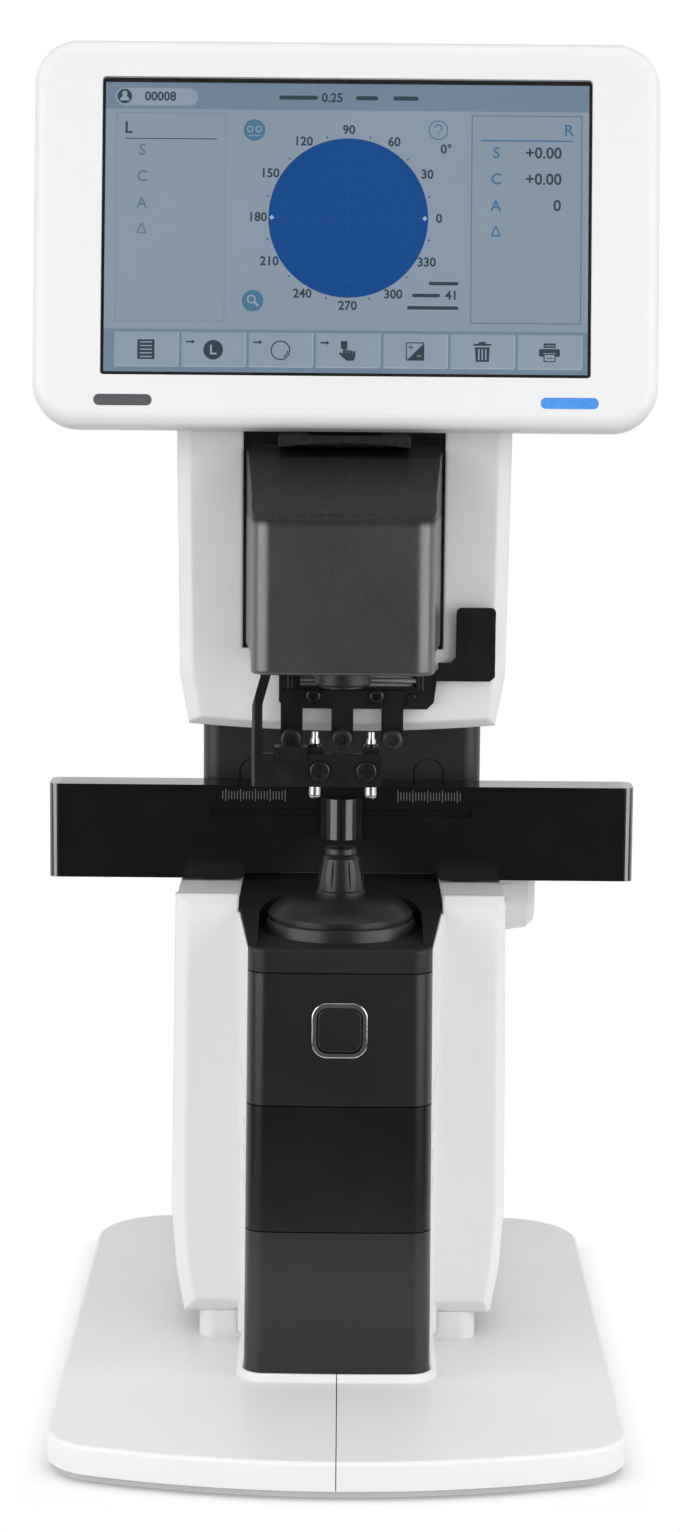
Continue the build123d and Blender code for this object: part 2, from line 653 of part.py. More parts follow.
def nose_solid(inset=0.0):
    """Nose body: rounded in plan, flared into the head, sloped on top."""
    t = inset
    front = COL_FRONT + t
    plan = [(-NOSE_HALF + t, front), (NOSE_HALF - t, front), (NOSE_HALF - t, 8), (t - NOSE_HALF, 8)]
    nose = plan_solid(plan, NOSE_FLOOR + t, 330)
    upright = [e for e in nose.edges().filter_by(Axis.Z) if e.center().Y < front + 1]
    nose = fillet(upright, COL_CORNER - t)
    flare = [(NOSE_HALF - t, -46), (NOSE_FLARE - t, -13), (NOSE_FLARE - t, 8)]
    flare = flare + [(-x, y) for x, y in reversed(flare)]
    nose = nose + plan_solid(flare, HEAD_SLOT_Z + 2, 330)
    slope = [(-60, 230), (-60, 284.5 - t), (-55.6, 288.2 - t), (-40, 296.5 - t), (-24, 304.0 - t)]
    slope += [(-8, 306.6 - t), (8, 307.2 - t), (8, 230)]
    return nose & side_solid(slope, -40, 40)


def nose_cover():
    cover = nose_solid()
    low_rim = [e for e in cover.edges().group_by(Axis.Z)[0] if e.center().Y < 0]
    cover = fillet(low_rim, 1.2)
    cover = cover - (nose_solid(WALL) + box(-25, 25, 5, 10, NOSE_FLOOR + 6, 306))
    cover = cover - rod("Z", BARREL_R + 0.1, 230, 244, 0, AXIS_Y)
    cover = cover - box(-23, 25.5, -17, 10, 230, 242) - box(25, 27.4, -15.2, -10.2, 230, 245.5)
    cover = cover - box(-26.1, -22.4, -37, -26, 230, 242)
    return cover - box(-12.4, 12.4, -4.4, 10, 290, 330)


def objective_barrel():
    floor = NOSE_FLOOR + WALL
    tube = rod("Z", BARREL_R, 231.6, FRAME_Z, 0, AXIS_Y)
    tube = tube + rod("Z", 12.5, floor, floor + 2, 0, AXIS_Y)
    tube = chamfer(tube.edges().group_by(Axis.Z)[0], 0.8)
    ring = rod("Z", 6.6, 230.9, 231.6, 0, AXIS_Y)
    return tube + ring - rod("Z", 5.2, 225, 234, 0, AXIS_Y) - rod("Z", 7.5, 233, 262, 0, AXIS_Y)


def collimator_lens():
    """Biconvex lens that fills the bore of the barrel."""
    bore_r = 7.5
    sag = 2.0
    ball_r = (bore_r ** 2 + sag ** 2) / (2 * sag)
    low = 234.0
    high = 240.4
    disc = rod("Z", bore_r, low, high, 0, AXIS_Y)
    lower = Pos(0, AXIS_Y, low + ball_r) * Sphere(ball_r)
    upper = Pos(0, AXIS_Y, high - ball_r) * Sphere(ball_r)
    return disc & lower & upper


def light_source():
    board = rod("Z", 7.5, 258, 259.6, 0, AXIS_Y)
    lens = rod("Z", 2.4, 255.5, 258, 0, AXIS_Y)
    lens = fillet(lens.edges().group_by(Axis.Z)[0], 1.8)
    return board + lens


def head_frame():
    """Cast plate that carries the optics, the two slide guides and the monitor."""
    top = FRAME_Z + 4
    plate = box(-26, 26, -38, 90, FRAME_Z, top)
    plate = plate - box(-14, 14, 24, 76, FRAME_Z - 1, top + 1)
    posts = [box(x - 4.5, x + 2.2, GUIDE_Y - 4.0, GUIDE_Y + 5.2, 246, FRAME_Z) for x in GUIDE_X]
    posts.append(box(-26, -18, -38, -25.4, 243, FRAME_Z))
    frame = fuse([plate] + posts)
    for x in GUIDE_X:
        frame = frame - rod("Z", GUIDE_R + RUN_CLEAR, 240, 270, x, GUIDE_Y)
    return frame - box(-27, -22.6, -35.7, -27.4, 240, 270)


def monitor_bracket():
    """Stem on the head frame, a lip under the screen and the middle knuckle."""
    stem = box(-12, 12, -4, 6, FRAME_Z + 4, 308)
    lip = box(-21, 21, -26, 9.5, 307.6, 311.3)
    arch = rod("Y", 150, -30, 12, 0, 307.6 - 150 + 1.2) & box(-22, 22, -26.5, -14.2, 300, 309)
    arm = box(-12, 12, -1.5, 9.5, 310, HINGE_Z) + rod("X", 5.5, -12, 12, HINGE_Y, HINGE_Z)
    bracket = lip - arch + stem + arm
    return bracket - rod("X", HINGE_PIN_R, -20, 20, HINGE_Y, HINGE_Z)


def hinge_pin():
    pin = rod("X", HINGE_PIN_R, -19.5, 19.5, HINGE_Y, HINGE_Z)
    return chamfer(pin.edges(), 0.4)


def place_monitor(solid):
    return Pos(0, MON_Y, MON_Z) * Rot(-MON_LEAN, 0, 0) * solid


def in_monitor(y, z):
    """A point of the frame, (y, z), in the monitor's own upright coordinates."""
    lean = math.radians(MON_LEAN)
    dy = y - MON_Y
    dz = z - MON_Z
    own_y = dy * math.cos(lean) - dz * math.sin(lean)
    return own_y, dy * math.sin(lean) + dz * math.cos(lean)


def monitor_bezel():
    """Crowned white frame, open behind, with the screen's window and two lamp slots."""
    frame = round_box(MON_W, MON_H, MON_T, MON_CORNER)
    frame = fillet(frame.edges().group_by(Axis.Y)[-1], 2.5)
    rim = [e for e in frame.edges() if abs(e.center().Y) < 0.01]
    frame = fillet(rim, 4.5)
    room = Pos(0, 3.4, 0) * round_box(MON_W - 6, MON_H - 6, 20, MON_CORNER - 3)
    window = Pos(0, -1, LCD_UP) * round_box(LCD_W, LCD_H, 10, 1.2)
    return frame - room - window - lamp_pill(-69.9, 10, 0.1) - lamp_pill(70.5, 10, 0.1)


def lamp_pill(x, depth, clear=0.0):
    pill = round_box(18.2 + clear, 3.5 + clear, depth, 1.7)
    return Pos(x, 0.1 if clear == 0 else -1, -53.0) * pill


def monitor_rear_cover():
    plate = Pos(0, MON_T - 3, 0) * round_box(MON_W - 6.4, MON_H - 6.4, 3, MON_CORNER - 3.2)
    hump = Pos(0, MON_T, 3) * round_box(MON_W - 30, MON_H - 30, MON_BACK_T, 12)
    hump = fillet(hump.edges().group_by(Axis.Y)[-1], 5.0)
    room = Pos(0, 5, 3) * round_box(MON_W - 35, MON_H - 35, MON_T + MON_BACK_T - 7.5, 9.5)
    vents = fuse([Pos(-40 + 4 * i, 24, 38) * Box(1.8, 20, 14) for i in range(21)])
    own_y, own_z = in_monitor(HINGE_Y, HINGE_Z)
    ears = []
    for side in SIDES:
        a, b = sorted((side * 12.3, side * 18.5))
        ear = rod("X", 5.5, a, b, own_y, own_z)
        ears.append(ear + box(a, b, MON_T + 8, own_y, own_z - 5.5, own_z + 5.5))
    bore = rod("X", HINGE_PIN_R + RUN_CLEAR, -25, 25, own_y, own_z)
    return plate + hump - room - vents + fuse(ears) - bore


def lcd_panel():
    return Pos(0, 2.9, LCD_UP) * round_box(LCD_W - 0.4, LCD_H - 0.4, 8.1, 1.0)


def touch_glass():
    return Pos(0, 1.4, LCD_UP) * round_box(LCD_W - 0.4, LCD_H - 0.4, 1.2, 1.0)


def presser_bracket():
    """Folded plate with its finger handle, clipped lower corners and two end blocks."""
    z0 = 222.8
    edge = 230.1
    high = 234.0
    clip = 2.2
    outline = [(-20.6 + clip, z0), (29.6 - clip, z0), (29.6, z0 + clip), (30.5, 232)]
    outline += [(47.6, 232), (49.3, 233.4), (49.3, 250.8), (36.6, 250.8)]
    outline += [(36.5, 239.6), (34.9, 238), (30.9, 238), (30.9, 236), (28.9, high), (23.9, high)]
    outline += [(23.9, edge), (-13.8, edge), (-13.8, high), (-20.6, high), (-20.6, z0 + clip)]
    back = PLATE_FRONT + PLATE_T
    plate = front_solid(outline, PLATE_FRONT, back)
    fold = [(PLATE_FRONT, 250.4), (PLATE_FRONT - 1.4, 256), (PLATE_FRONT + 0.2, 256), (back, 250.4)]
    tab = side_solid(fold, 36.6, 49.3)
    tips = [e for e in tab.edges().filter_by(Axis.Y) if e.center().Z > 255]
    tab = fillet(tips, 1.6) if tips else tab
    blocks = [box(x - 2.8, x + 2.8, back, GUIDE_Y + 2.2, 228, high) for x in GUIDE_X]
    holes = [rod("Y", 1.3, -20, -10, x, 227.2) for x in (-9.4, 11.0)]
    holes.append(rod("Y", 0.6, -20, -10, 22.5, 226.6))
    return fuse([plate, tab] + blocks) - fuse(holes) - presser_rods()


def presser_legs():
    """Three strips with a round eye for the rubber tip."""
    front = PLATE_FRONT - 1.5
    legs = []
    for x in LEG_X:
        strip = box(x - 3.55, x + 3.55, front, PLATE_FRONT, TIP_Z, GUIDE_LOW - 0.1)
        eye = rod("Y", 3.55, front, PLATE_FRONT, x, TIP_Z)
        legs.append(strip + eye)
    cross = box(-19.4, 19.6, front, PLATE_FRONT, 223.4, GUIDE_LOW - 0.1)
    holes = [rod("Y", 1.3, -20, -10, x, 227.2) for x in (-9.4, 11.0)]
    return fuse(legs + [cross]) - fuse(holes)


def presser_tips():
    """Rubber buttons with a dimpled face, one on each leg."""
    base = PLATE_FRONT - 1.5
    tips = []
    for i, x in enumerate(LEG_X):
        front = base - (4.6 if i == 1 else 5.6)
        tip = rod("Y", 3.2, front, base, x, TIP_Z)
        tip = fillet(tip.edges().group_by(Axis.Y)[0], 0.9)
        tips.append(tip - rod("Y", 1.6, front - 1, front + 0.9, x, TIP_Z))
    return Compound(tips)


def presser_rods():
    """Cross rod over the plate's edge, on the two upright guides."""
    guides = [rod("Z", GUIDE_R, GUIDE_LOW, 284, x, GUIDE_Y) for x in GUIDE_X]
    cross = rod("X", 1.15, GUIDE_X[0], GUIDE_X[1], -12.0, 232.0)
    return fuse(guides + [cross])


def presser_screws():
    face = PLATE_FRONT - 1.5
    turn = Rot(90, 0, 0)
    heads = [Pos(x, face, 227.2) * turn * screw_head(2.4, 2.2, "socket") for x in (-9.4, 11.0)]
    small = Pos(22.5, PLATE_FRONT, 226.6) * turn * screw_head(1.2, 0.8)
    return Compound(heads + [small])


def marker_arm():
    """Arm from the nose guide, cranked outwards, with the folded pin plate and ink tray."""
    upper = [(-25.9, 236), (-22.7, 236), (-22.7, 276), (-25.9, 276)]
    crank = [(-28.7, 226), (-25.5, 226), (-22.7, 236), (-25.9, 236)]
    lower = [(-28.7, 200.2), (-25.5, 200.2), (-25.5, 226), (-28.7, 226)]
    arm = fuse([front_solid(p, MARK_FRONT, -27.5) for p in (upper, crank, lower)])
    plate = box(-28.7, 12.6, MARK_FRONT, MARK_FRONT + MARK_T, 200.2, 210.8)
    ends = [e for e in plate.edges().filter_by(Axis.Y) if e.center().X > 0]
    plate = fillet(ends, 1.0)
    blocks = [box(x - 2.6, x + 2.6, MARK_FRONT + MARK_T, -28.2, 201, 212.6) for x in PIN_X]
    back = MARK_FRONT + MARK_T
    bores = [rod("Z", PIN_R, 190, 220, x, -31.3) for x in PIN_X]
    tray = box(-21.4, -11.4, MARK_FRONT - 1.4, -29.6, 211.6, 213)
    tray = tray + box(-20.6, -12.0, MARK_FRONT - 0.5, MARK_FRONT + 1, 208.8, 211.7)
    legs = [box(x - 0.45, x + 0.45, MARK_FRONT - 1, MARK_FRONT + 1, 208.2, 211.7)
            for x in (-20.6, -12.0)]
    holes = [rod("Y", 1.6, -40, -33.8, x, 205.4) for x in (-7.0, 7.8)]
    arm = fuse([arm, plate] + blocks + [tray] + legs) - fuse(bores) - fuse(holes)
    bend = [e for e in arm.edges().filter_by(Axis.Z) if e.center().X < -28.6 and e.center().Y < back]
    return fillet(bend, 1.2)


def marking_pins():
    """Stepped pins with domed felt ends below and spigots above."""
    pins = []
    for x in PIN_X:
        tip = rod("Z", PIN_R, 195.7, 211.0, x, -31.3)
        tip = fillet(tip.edges().group_by(Axis.Z)[0], 1.6)
        collar = rod("Z", 2.3, 212.6, 213.4, x, -31.3)
        spigot = rod("Z", 1.1, 210, 217.4, x, -31.3) + rod("Z", 1.5, 213.4, 215.2, x, -31.3)
        pins.append(tip + collar + spigot)
    return Compound(pins)


def marker_screws():
    turn = Rot(90, 0, 0)
    heads = [Pos(x, MARK_FRONT, 205.4) * turn * screw_head(3.2, 1.5, reach=1.8) for x in (-7.0, 7.8)]
    return Compound(heads)


def rear_cover():
    """Spine cover over the chassis, with vents and the holes for the connectors."""
    outer = box(-NECK_HALF, NECK_HALF, BODY_BACK, REAR_FACE, 24, 335)
    rear_edges = [e for e in outer.edges() if abs(e.center().Y - REAR_FACE) < 0.01]
    outer = fillet(rear_edges, 7.0)
    room = box(-NECK_HALF + WALL, NECK_HALF - WALL, BODY_BACK - 1, REAR_FACE - WALL, 26.5, 332.5)
    rear = outer - room
    louvre = Box(50, 12, 2.2)
    rear = rear - fuse([Pos(0, REAR_FACE, 232 + 6 * i) * Rot(30, 0, 0) * louvre for i in range(9)])
    rear = rear - box(-38.2, 12.2, 105, 120, 31.8, 56.2) - box(17.8, 44.2, 105, 120, 33.8, 54.2)
    for x, z in rear_screw_places():
        rear = rear - rod("Y", 3.4, REAR_FACE - 1.4, 120, x, z) - rod("Y", 1.5, 105, 120, x, z)
    return rear


def rear_screw_places():
    return [(side * 36, z) for side in SIDES for z in (80, 190, 310)]


def case_screws():
    back = Rot(-90, 0, 0) * screw_head(3.0, 1.3)
    rear = [Pos(x, REAR_FACE - 1.4, z) * back for x, z in rear_screw_places()]
    under = [Pos(x * 60, y, PAN_LOW) * Rot(180, 0, 0) * Cylinder(3.0, 0.8, align=ON_SEAT)
             for x in SIDES for y in (-70, 80)]
    return Compound(rear + under)


def power_inlet():
    """Appliance inlet and switch housing in one snap-in module."""
    flange = box(-40.5, 14.5, REAR_FACE, REAR_FACE + 1.8, 29.5, 58.5)
    flange = fillet(flange.edges().filter_by(Axis.Y), 3.0)
    body = box(-38, 12, 94, REAR_FACE, 32, 56)
    socket = box(-36, -12, 98, 120, 35.7, 52.3)
    socket = chamfer([e for e in socket.edges().filter_by(Axis.Y) if e.center().Z > 50], 4.0)
    blades = [box(x - 1, x + 1, 98, 110, 41, 45) for x in (-31, -17)]
    blades.append(box(-25, -23, 98, 110, 46, 50))
    pocket = box(-3.2, 9.2, 103, 120, 34, 54)
    pivots = rod("X", 1.25, -4.4, 10.4, 107, 44)
    return flange + body - socket + fuse(blades) - pocket - pivots


def power_switch():
    """Rocker, off at rest: its lower half is pressed in."""
    outline = [(5.5, 0), (7.2, 8.2), (4.5, 8.6), (-2, 4), (-2, -4), (4.5, -8.6), (7.2, -8.2)]
    rocker = side_solid(outline, -6.0, 6.0) + Rot(0, 90, 0) * Cylinder(1.2, 14.4)
    return Pos(3, 107, 44) * Rot(-10, 0, 0) * rocker


def port_block():
    """Network and serial bus sockets side by side."""
    block = box(18, 44, 96, REAR_FACE + 0.6, 34, 54)
    network = box(20, 31.8, 101, 120, 38, 46.6) + box(23, 28.8, 101, 120, 46, 49.4)
    bus = box(35.2, 41.2, 102, 120, 37.5, 50.1)
    tongue = box(36.2, 38.0, 102, 111, 38.4, 49.2)
    return block - network - bus + tongue


def power_supply():
    case = box(-47, -7, 26, 72, BODY_BOTTOM + WALL, 62)
    case = fillet(case.edges().filter_by(Axis.Z), 1.5)
    fins = [Pos(-44 + 4 * i, 49, 61) * Box(1.6, 34, 4) for i in range(9)]
    return case - fuse(fins)


def main_board():
    board = box(38, 39.6, 24, 78, BODY_BOTTOM + WALL, 124)
    chips = [box(35.8, 38, y, y + s, z, z + s) for y, z, s in ((36, 80, 18), (62, 96, 9), (32, 50, 11))]
    stacks = [rod("Z", 3, 40, 52, 34.9, y) for y in (60, 68)]
    rails = [box(34, 38, y - 3, y + 3, 38, 40) for y in (60, 68)]
    return fuse([board] + chips + stacks + rails)


def build_nodes():
    base = base_cover()
    body = body_shell()
    head = head_shell()
    return {
        "base_pan": base_pan(),
        "rubber_feet": rubber_feet(),
        "base_cover_left": half(-1, base),
        "base_cover_right": half(1, base),
        "body_shell_left": half(-1, body),
        "body_shell_right": half(1, body),
        "chassis_column": chassis_column(),
        "column_frame": column_frame(),
        "column_lower_panel": column_panel(BASE_TOP, SEAM_LOW - COL_GAP / 2),
        "column_mid_panel": column_panel(SEAM_LOW + COL_GAP / 2, SEAM_MID - COL_GAP / 2),
        "column_control_panel": column_control_panel(),
        "column_cap": column_cap(),
        "button_ring": button_ring(),
        "measure_button": measure_button(),
        "dome_ring": dome_ring(),
        "dome_cover": dome_cover(),
        "nosepiece": nosepiece(),
        "cover_glass": cover_glass(),
        "hartmann_plate": hartmann_plate(),
        "sensor_tube": sensor_tube(),
        "sensor_board": sensor_board(),
        "throat_cover": throat_cover(),
        "slide_block": slide_block(),
        "rod_bushes": rod_bushes(),
        "table_bar": table_bar(),
        "table_rods": table_rods(),
        "table_rack": table_rack(),
        "knob_shaft": knob_shaft(),
        "table_knob": table_knob(),
        "nose_pad_slider": nose_pad_slider(),
        "head_shell_left": half(-1, head),
        "head_shell_right": half(1, head),
        "head_frame": head_frame(),
        "nose_cover": nose_cover(),
        "objective_barrel": objective_barrel(),
        "collimator_lens": collimator_lens(),
        "light_source": light_source(),
        "presser_bracket": presser_bracket(),
        "presser_legs": presser_legs(),
        "presser_tips": presser_tips(),
        "presser_rods": presser_rods(),
        "presser_screws": presser_screws(),
        "marker_arm": marker_arm(),
        "marking_pins": marking_pins(),
        "marker_screws": marker_screws(),
        "monitor_bracket": monitor_bracket(),
        "hinge_pin": hinge_pin(),
        "monitor_bezel": place_monitor(monitor_bezel()),
        "monitor_rear_cover": place_monitor(monitor_rear_cover()),
        "lcd_panel": place_monitor(lcd_panel()),
        "touch_glass": place_monitor(touch_glass()),
        "status_window": place_monitor(lamp_pill(-69.9, 3.2)),
        "power_lamp": place_monitor(lamp_pill(70.5, 3.2)),
        "rear_cover": rear_cover(),
        "case_screws": case_screws(),
        "power_inlet": power_inlet(),
        "power_switch": power_switch(),
        "port_block": port_block(),
        "power_supply": power_supply(),
        "main_board": main_board(),
    }


def as_solids(shape):
    """Plain compound of the shape's solids, whatever the last operation gave."""
    solids = shape.solids()
    return solids[0] if len(solids) == 1 else Compound(solids)


if __name__ == "__main__":
    os.makedirs("parts", exist_ok=True)
    for name, shape in build_nodes().items():
        export_step(as_solids(shape), f"parts/{name}.step")
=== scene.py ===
import math

import bmesh
import bpy
from mathutils import Matrix, Vector


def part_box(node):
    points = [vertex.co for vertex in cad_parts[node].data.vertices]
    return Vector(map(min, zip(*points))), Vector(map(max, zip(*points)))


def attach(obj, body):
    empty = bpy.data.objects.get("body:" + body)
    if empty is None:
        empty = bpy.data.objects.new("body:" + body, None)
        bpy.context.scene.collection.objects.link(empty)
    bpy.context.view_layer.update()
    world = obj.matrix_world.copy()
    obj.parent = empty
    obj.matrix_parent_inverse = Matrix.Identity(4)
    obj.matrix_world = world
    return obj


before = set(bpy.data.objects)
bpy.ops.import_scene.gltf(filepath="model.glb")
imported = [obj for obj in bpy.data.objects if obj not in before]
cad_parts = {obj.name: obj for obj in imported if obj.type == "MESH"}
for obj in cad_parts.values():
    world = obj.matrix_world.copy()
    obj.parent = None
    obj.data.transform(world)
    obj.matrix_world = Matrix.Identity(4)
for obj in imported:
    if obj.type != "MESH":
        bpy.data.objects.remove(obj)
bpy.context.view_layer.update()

bl_info = {
    "name": "Auto lensmeter dressing",
    "version": (1, 0, 0),
    "blender": (4, 5, 0),
    "location": "3D View > Sidebar > Lensmeter",
    "description": "Finishes, screen graphics, table scale and studio for the auto lensmeter",
    "category": "Object",
}

MM = 0.001

# The photograph's camera: the image's height and the focal length in pixels, its place and roll
IMAGE_H = 1532
FOCAL_PX = 3160
CAMERA_PLACE = (-0.0006, -1.0313, 0.3434)
CAMERA_ROLL = math.radians(0.5)

# The screen's own upright plane: x to the right, z up, y from its face towards the back
SCREEN_MIDDLE = Vector((0, -24.7, 374.5)) * MM
SCREEN_LEAN = math.radians(9)
SCREEN_UP = 2.0
DISPLAY_FACE = 2.9
LAYER_GAP = 0.03
LAYER_STEP = 0.03
LAYER_T = 0.02

# Printed layers of the picture, from its ground to the marks on marks
BASE, AREA, PLATE, MARK, OVER, TOP = range(6)

# Slots of the colours of the icons, of the ground, of the target and of the letters
INK, BLUE, LIGHT, PALE, DEEP = range(5)
GROUND, STRIP, TILE, PANEL, OUTLINE, EDGE = range(6)
FIELD, LINE, TIP = range(3)
DARK, VIVID, FAINT = range(3)
DEEP_BLUE = (0.07, 0.2, 0.36)

# Letters: font size for a height of 1, and how much bolder than the font they are
FONT_SIZE = 1.28
LETTER_BOLD = 0.0001

# Where a finish changes along its part, in metres, and over what distance
SLOPE_FOOT = (0.284, 0.286)
BAR_END = (0.0952, 0.0956)
PIN_COLLAR = (0.2128, 0.0008)
BARE_ROD = (0.0042, 0.0195)

# Floor: how much whiter the eye sees it than it lights the part, the least share of plain white,
# and how far it lies under the feet, in metres
FLOOR_SEEN = 1.2
SHADOW_LIFT = 0.3
FLOOR_DROP = 0.0002

# What the lamps point at, the right one's share of the left one's power, the light from below as
# a share of the even light, and how strong the light overhead is in reflections
LAMP_AIM = Vector((0, 0, 0.22))
RIGHT_LAMP = 1.05
FROM_BELOW = 0.3
MIRRORED_TOP = 0.25

# Printed scale, in metres: ink thickness, distance under the bar's top edge; a long tick's share
TICK_T = 0.00006
SCALE_DROP = 0.0034
LONG_TICK = 1.45


class HousingSettings(bpy.types.PropertyGroup):
    """The white housings and the pan under them."""

    white: bpy.props.FloatVectorProperty(
        name="White", description="Colour of the white housings", subtype="COLOR",
        size=3, min=0, max=1, default=(0.725, 0.73, 0.737))
    grain: bpy.props.FloatProperty(
        name="Grain", description="Size of the moulded grain", default=0.0007, unit="LENGTH")
    roughness: bpy.props.FloatProperty(
        name="Roughness", description="Roughness of the white housings", default=0.42,
        min=0, max=1, subtype="FACTOR")
    # The pan's grey is partly its own colour and partly painted shadow, set to the tone of the
    # shadow band under the base
    pan: bpy.props.FloatVectorProperty(
        name="Pan", description="Colour of the base pan", subtype="COLOR",
        size=3, min=0, max=1, default=(0.45, 0.452, 0.456))


class BlackSettings(bpy.types.PropertyGroup):
    """The black mouldings."""

    column: bpy.props.FloatVectorProperty(
        name="Column", description="Colour of the column and its cap", subtype="COLOR",
        size=3, min=0, max=1, default=(0.0086, 0.0082, 0.0077))
    nose: bpy.props.FloatVectorProperty(
        name="Nose", description="Colour of the nose", subtype="COLOR",
        size=3, min=0, max=1, default=(0.0165, 0.0163, 0.0158))
    gloss: bpy.props.FloatVectorProperty(
        name="Bar", description="Colour of the glossy reading table", subtype="COLOR",
        size=3, min=0, max=1, default=(0.006, 0.006, 0.006))
    nose_grain: bpy.props.FloatProperty(
        name="Nose grain", description="Size of the spark-eroded grain", default=0.0008,
        unit="LENGTH")


class ScreenSettings(bpy.types.PropertyGroup):
    """The lit display."""

    ground: bpy.props.FloatVectorProperty(
        name="Ground", description="Grey-blue of the display", subtype="COLOR",
        size=3, min=0, max=1, default=(0.292, 0.364, 0.45))
    target: bpy.props.FloatVectorProperty(
        name="Target", description="Blue of the alignment target", subtype="COLOR",
        size=3, min=0, max=1, default=(0.0035, 0.075, 0.294))
    ink: bpy.props.FloatVectorProperty(
        name="Ink", description="Dark grey of numbers and icons", subtype="COLOR",
        size=3, min=0, max=1, default=(0.034, 0.064, 0.084))
    target_radius: bpy.props.FloatProperty(
        name="Target radius", description="Radius of the alignment target", default=0.0252,
        unit="LENGTH")
    brightness: bpy.props.FloatProperty(
        name="Brightness", description="Share of the display's colour that it gives out",
        default=0.92, min=0, max=1, subtype="FACTOR")


class ScaleSettings(bpy.types.PropertyGroup):
    """The printed distance scales of the reading table."""

    pitch: bpy.props.FloatProperty(
        name="Pitch", description="Distance between two ticks", default=0.001, unit="LENGTH")
    tick: bpy.props.FloatProperty(
        name="Tick", description="Length of a short tick", default=0.0028, unit="LENGTH")
    width: bpy.props.FloatProperty(
        name="Width", description="Width of a tick", default=0.00032, unit="LENGTH")
    first: bpy.props.FloatProperty(
        name="First", description="Distance of the first tick from the middle", default=0.019,
        unit="LENGTH")
    count: bpy.props.IntProperty(
        name="Count", description="Ticks on each side", default=22, min=2)


class StageSettings(bpy.types.PropertyGroup):
    """Floor, lamps and camera."""

    floor: bpy.props.FloatVectorProperty(
        name="Floor", description="Colour of the floor", subtype="COLOR",
        size=3, min=0, max=1, default=(0.7, 0.7, 0.705))
    floor_radius: bpy.props.FloatProperty(
        name="Floor radius", description="Radius of the round floor", default=0.26, unit="LENGTH")
    shadow_reach: bpy.props.FloatProperty(
        name="Shadow reach", description="How far from the base the floor shows its shadow",
        default=0.012, unit="LENGTH")
    side_power: bpy.props.FloatProperty(
        name="Side lamps", description="Power of each side lamp", default=3.3, unit="POWER")
    strip_power: bpy.props.FloatProperty(
        name="Strips", description="Power of each tall strip beside the camera", default=6.4,
        unit="POWER")
    top_power: bpy.props.FloatProperty(
        name="Top lamp", description="Power of the lamp overhead", default=2.6, unit="POWER")
    ambient: bpy.props.FloatProperty(
        name="Ambient", description="Strength of the even light from all round", default=0.29,
        min=0)
    sky: bpy.props.FloatProperty(
        name="Sky", description="Strength of the even light from above", default=0.86, min=0)
    fill: bpy.props.FloatProperty(
        name="Fill", description="Strength of the even light from the camera's side",
        default=0.66, min=0)
    camera_side: bpy.props.FloatProperty(
        name="Camera side", description="How bright the camera's side is in reflections",
        default=0.1, min=0, max=1)
    pitch: bpy.props.FloatProperty(
        name="Pitch", description="How far the camera looks down", default=math.radians(7.8),
        subtype="ANGLE")


def wire(tree, source, target):
    tree.links.new(source, target)


def add_node(tree, kind, **settings):
    node = tree.nodes.new(kind)
    for key, value in settings.items():
        setattr(node, key, value)
    return node


def new_group(name, inputs, outputs):
    """Shader node group with named sockets, and its two end nodes."""
    group = bpy.data.node_groups.new(name, "ShaderNodeTree")
    for label, kind, default in inputs:
        socket = group.interface.new_socket(label, in_out="INPUT", socket_type=kind)
        socket.default_value = default
    for label, kind in outputs:
        group.interface.new_socket(label, in_out="OUTPUT", socket_type=kind)
    return group, group.nodes.new("NodeGroupInput"), group.nodes.new("NodeGroupOutput")


def feed(tree, value, target):
    """Wires an output to the target, or sets a number or colour on it."""
    if isinstance(value, bpy.types.NodeSocket):
        wire(tree, value, target)
    else:
        target.default_value = value


def fill(tree, node, **values):
    """Feeds the node's inputs; a label has _ for its spaces."""
    for label, value in values.items():
        feed(tree, value, node.inputs[label.replace("_", " ")])
    return node


def calculate(tree, operation, *values):
    """What a math node gives for one to three numbers or outputs."""
    node = add_node(tree, "ShaderNodeMath", operation=operation)
    for value, target in zip(values, node.inputs):
        feed(tree, value, target)
    return node.outputs[0]


def multiply(tree, a, b):
    return calculate(tree, "MULTIPLY", a, b)


def noise(tree, position, scale, detail=2.0, roughness=0.5):
    """Noise with a scale in features per metre, given as a number or a socket."""
    node = add_node(tree, "ShaderNodeTexNoise")
    fill(tree, node, Vector=position, Scale=scale, Detail=detail, Roughness=roughness)
    return node.outputs["Fac"]


def spread(tree, value, low, high, to_low=0.0, to_high=1.0, ease="LINEAR"):
    """Carries a value over from one range to another, and stops at its ends."""
    node = add_node(tree, "ShaderNodeMapRange", interpolation_type=ease)
    fill(tree, node, Value=value, From_Min=low, From_Max=high, To_Min=to_low, To_Max=to_high)
    return node.outputs["Result"]


def mix_value(tree, share, a, b):
    """Number between a and b; each is a number or a socket."""
    node = add_node(tree, "ShaderNodeMix", data_type="FLOAT")
    wire(tree, share, node.inputs[0])
    feed(tree, a, node.inputs[2])
    feed(tree, b, node.inputs[3])
    return node.outputs[0]


def mix_colour(tree, share, a, b):
    """Colour between a and b; each is a colour or a socket."""
    node = add_node(tree, "ShaderNodeMix", data_type="RGBA")
    feed(tree, share, node.inputs["Factor"])
    feed(tree, a, node.inputs[6])
    feed(tree, b, node.inputs[7])
    return node.outputs[2]


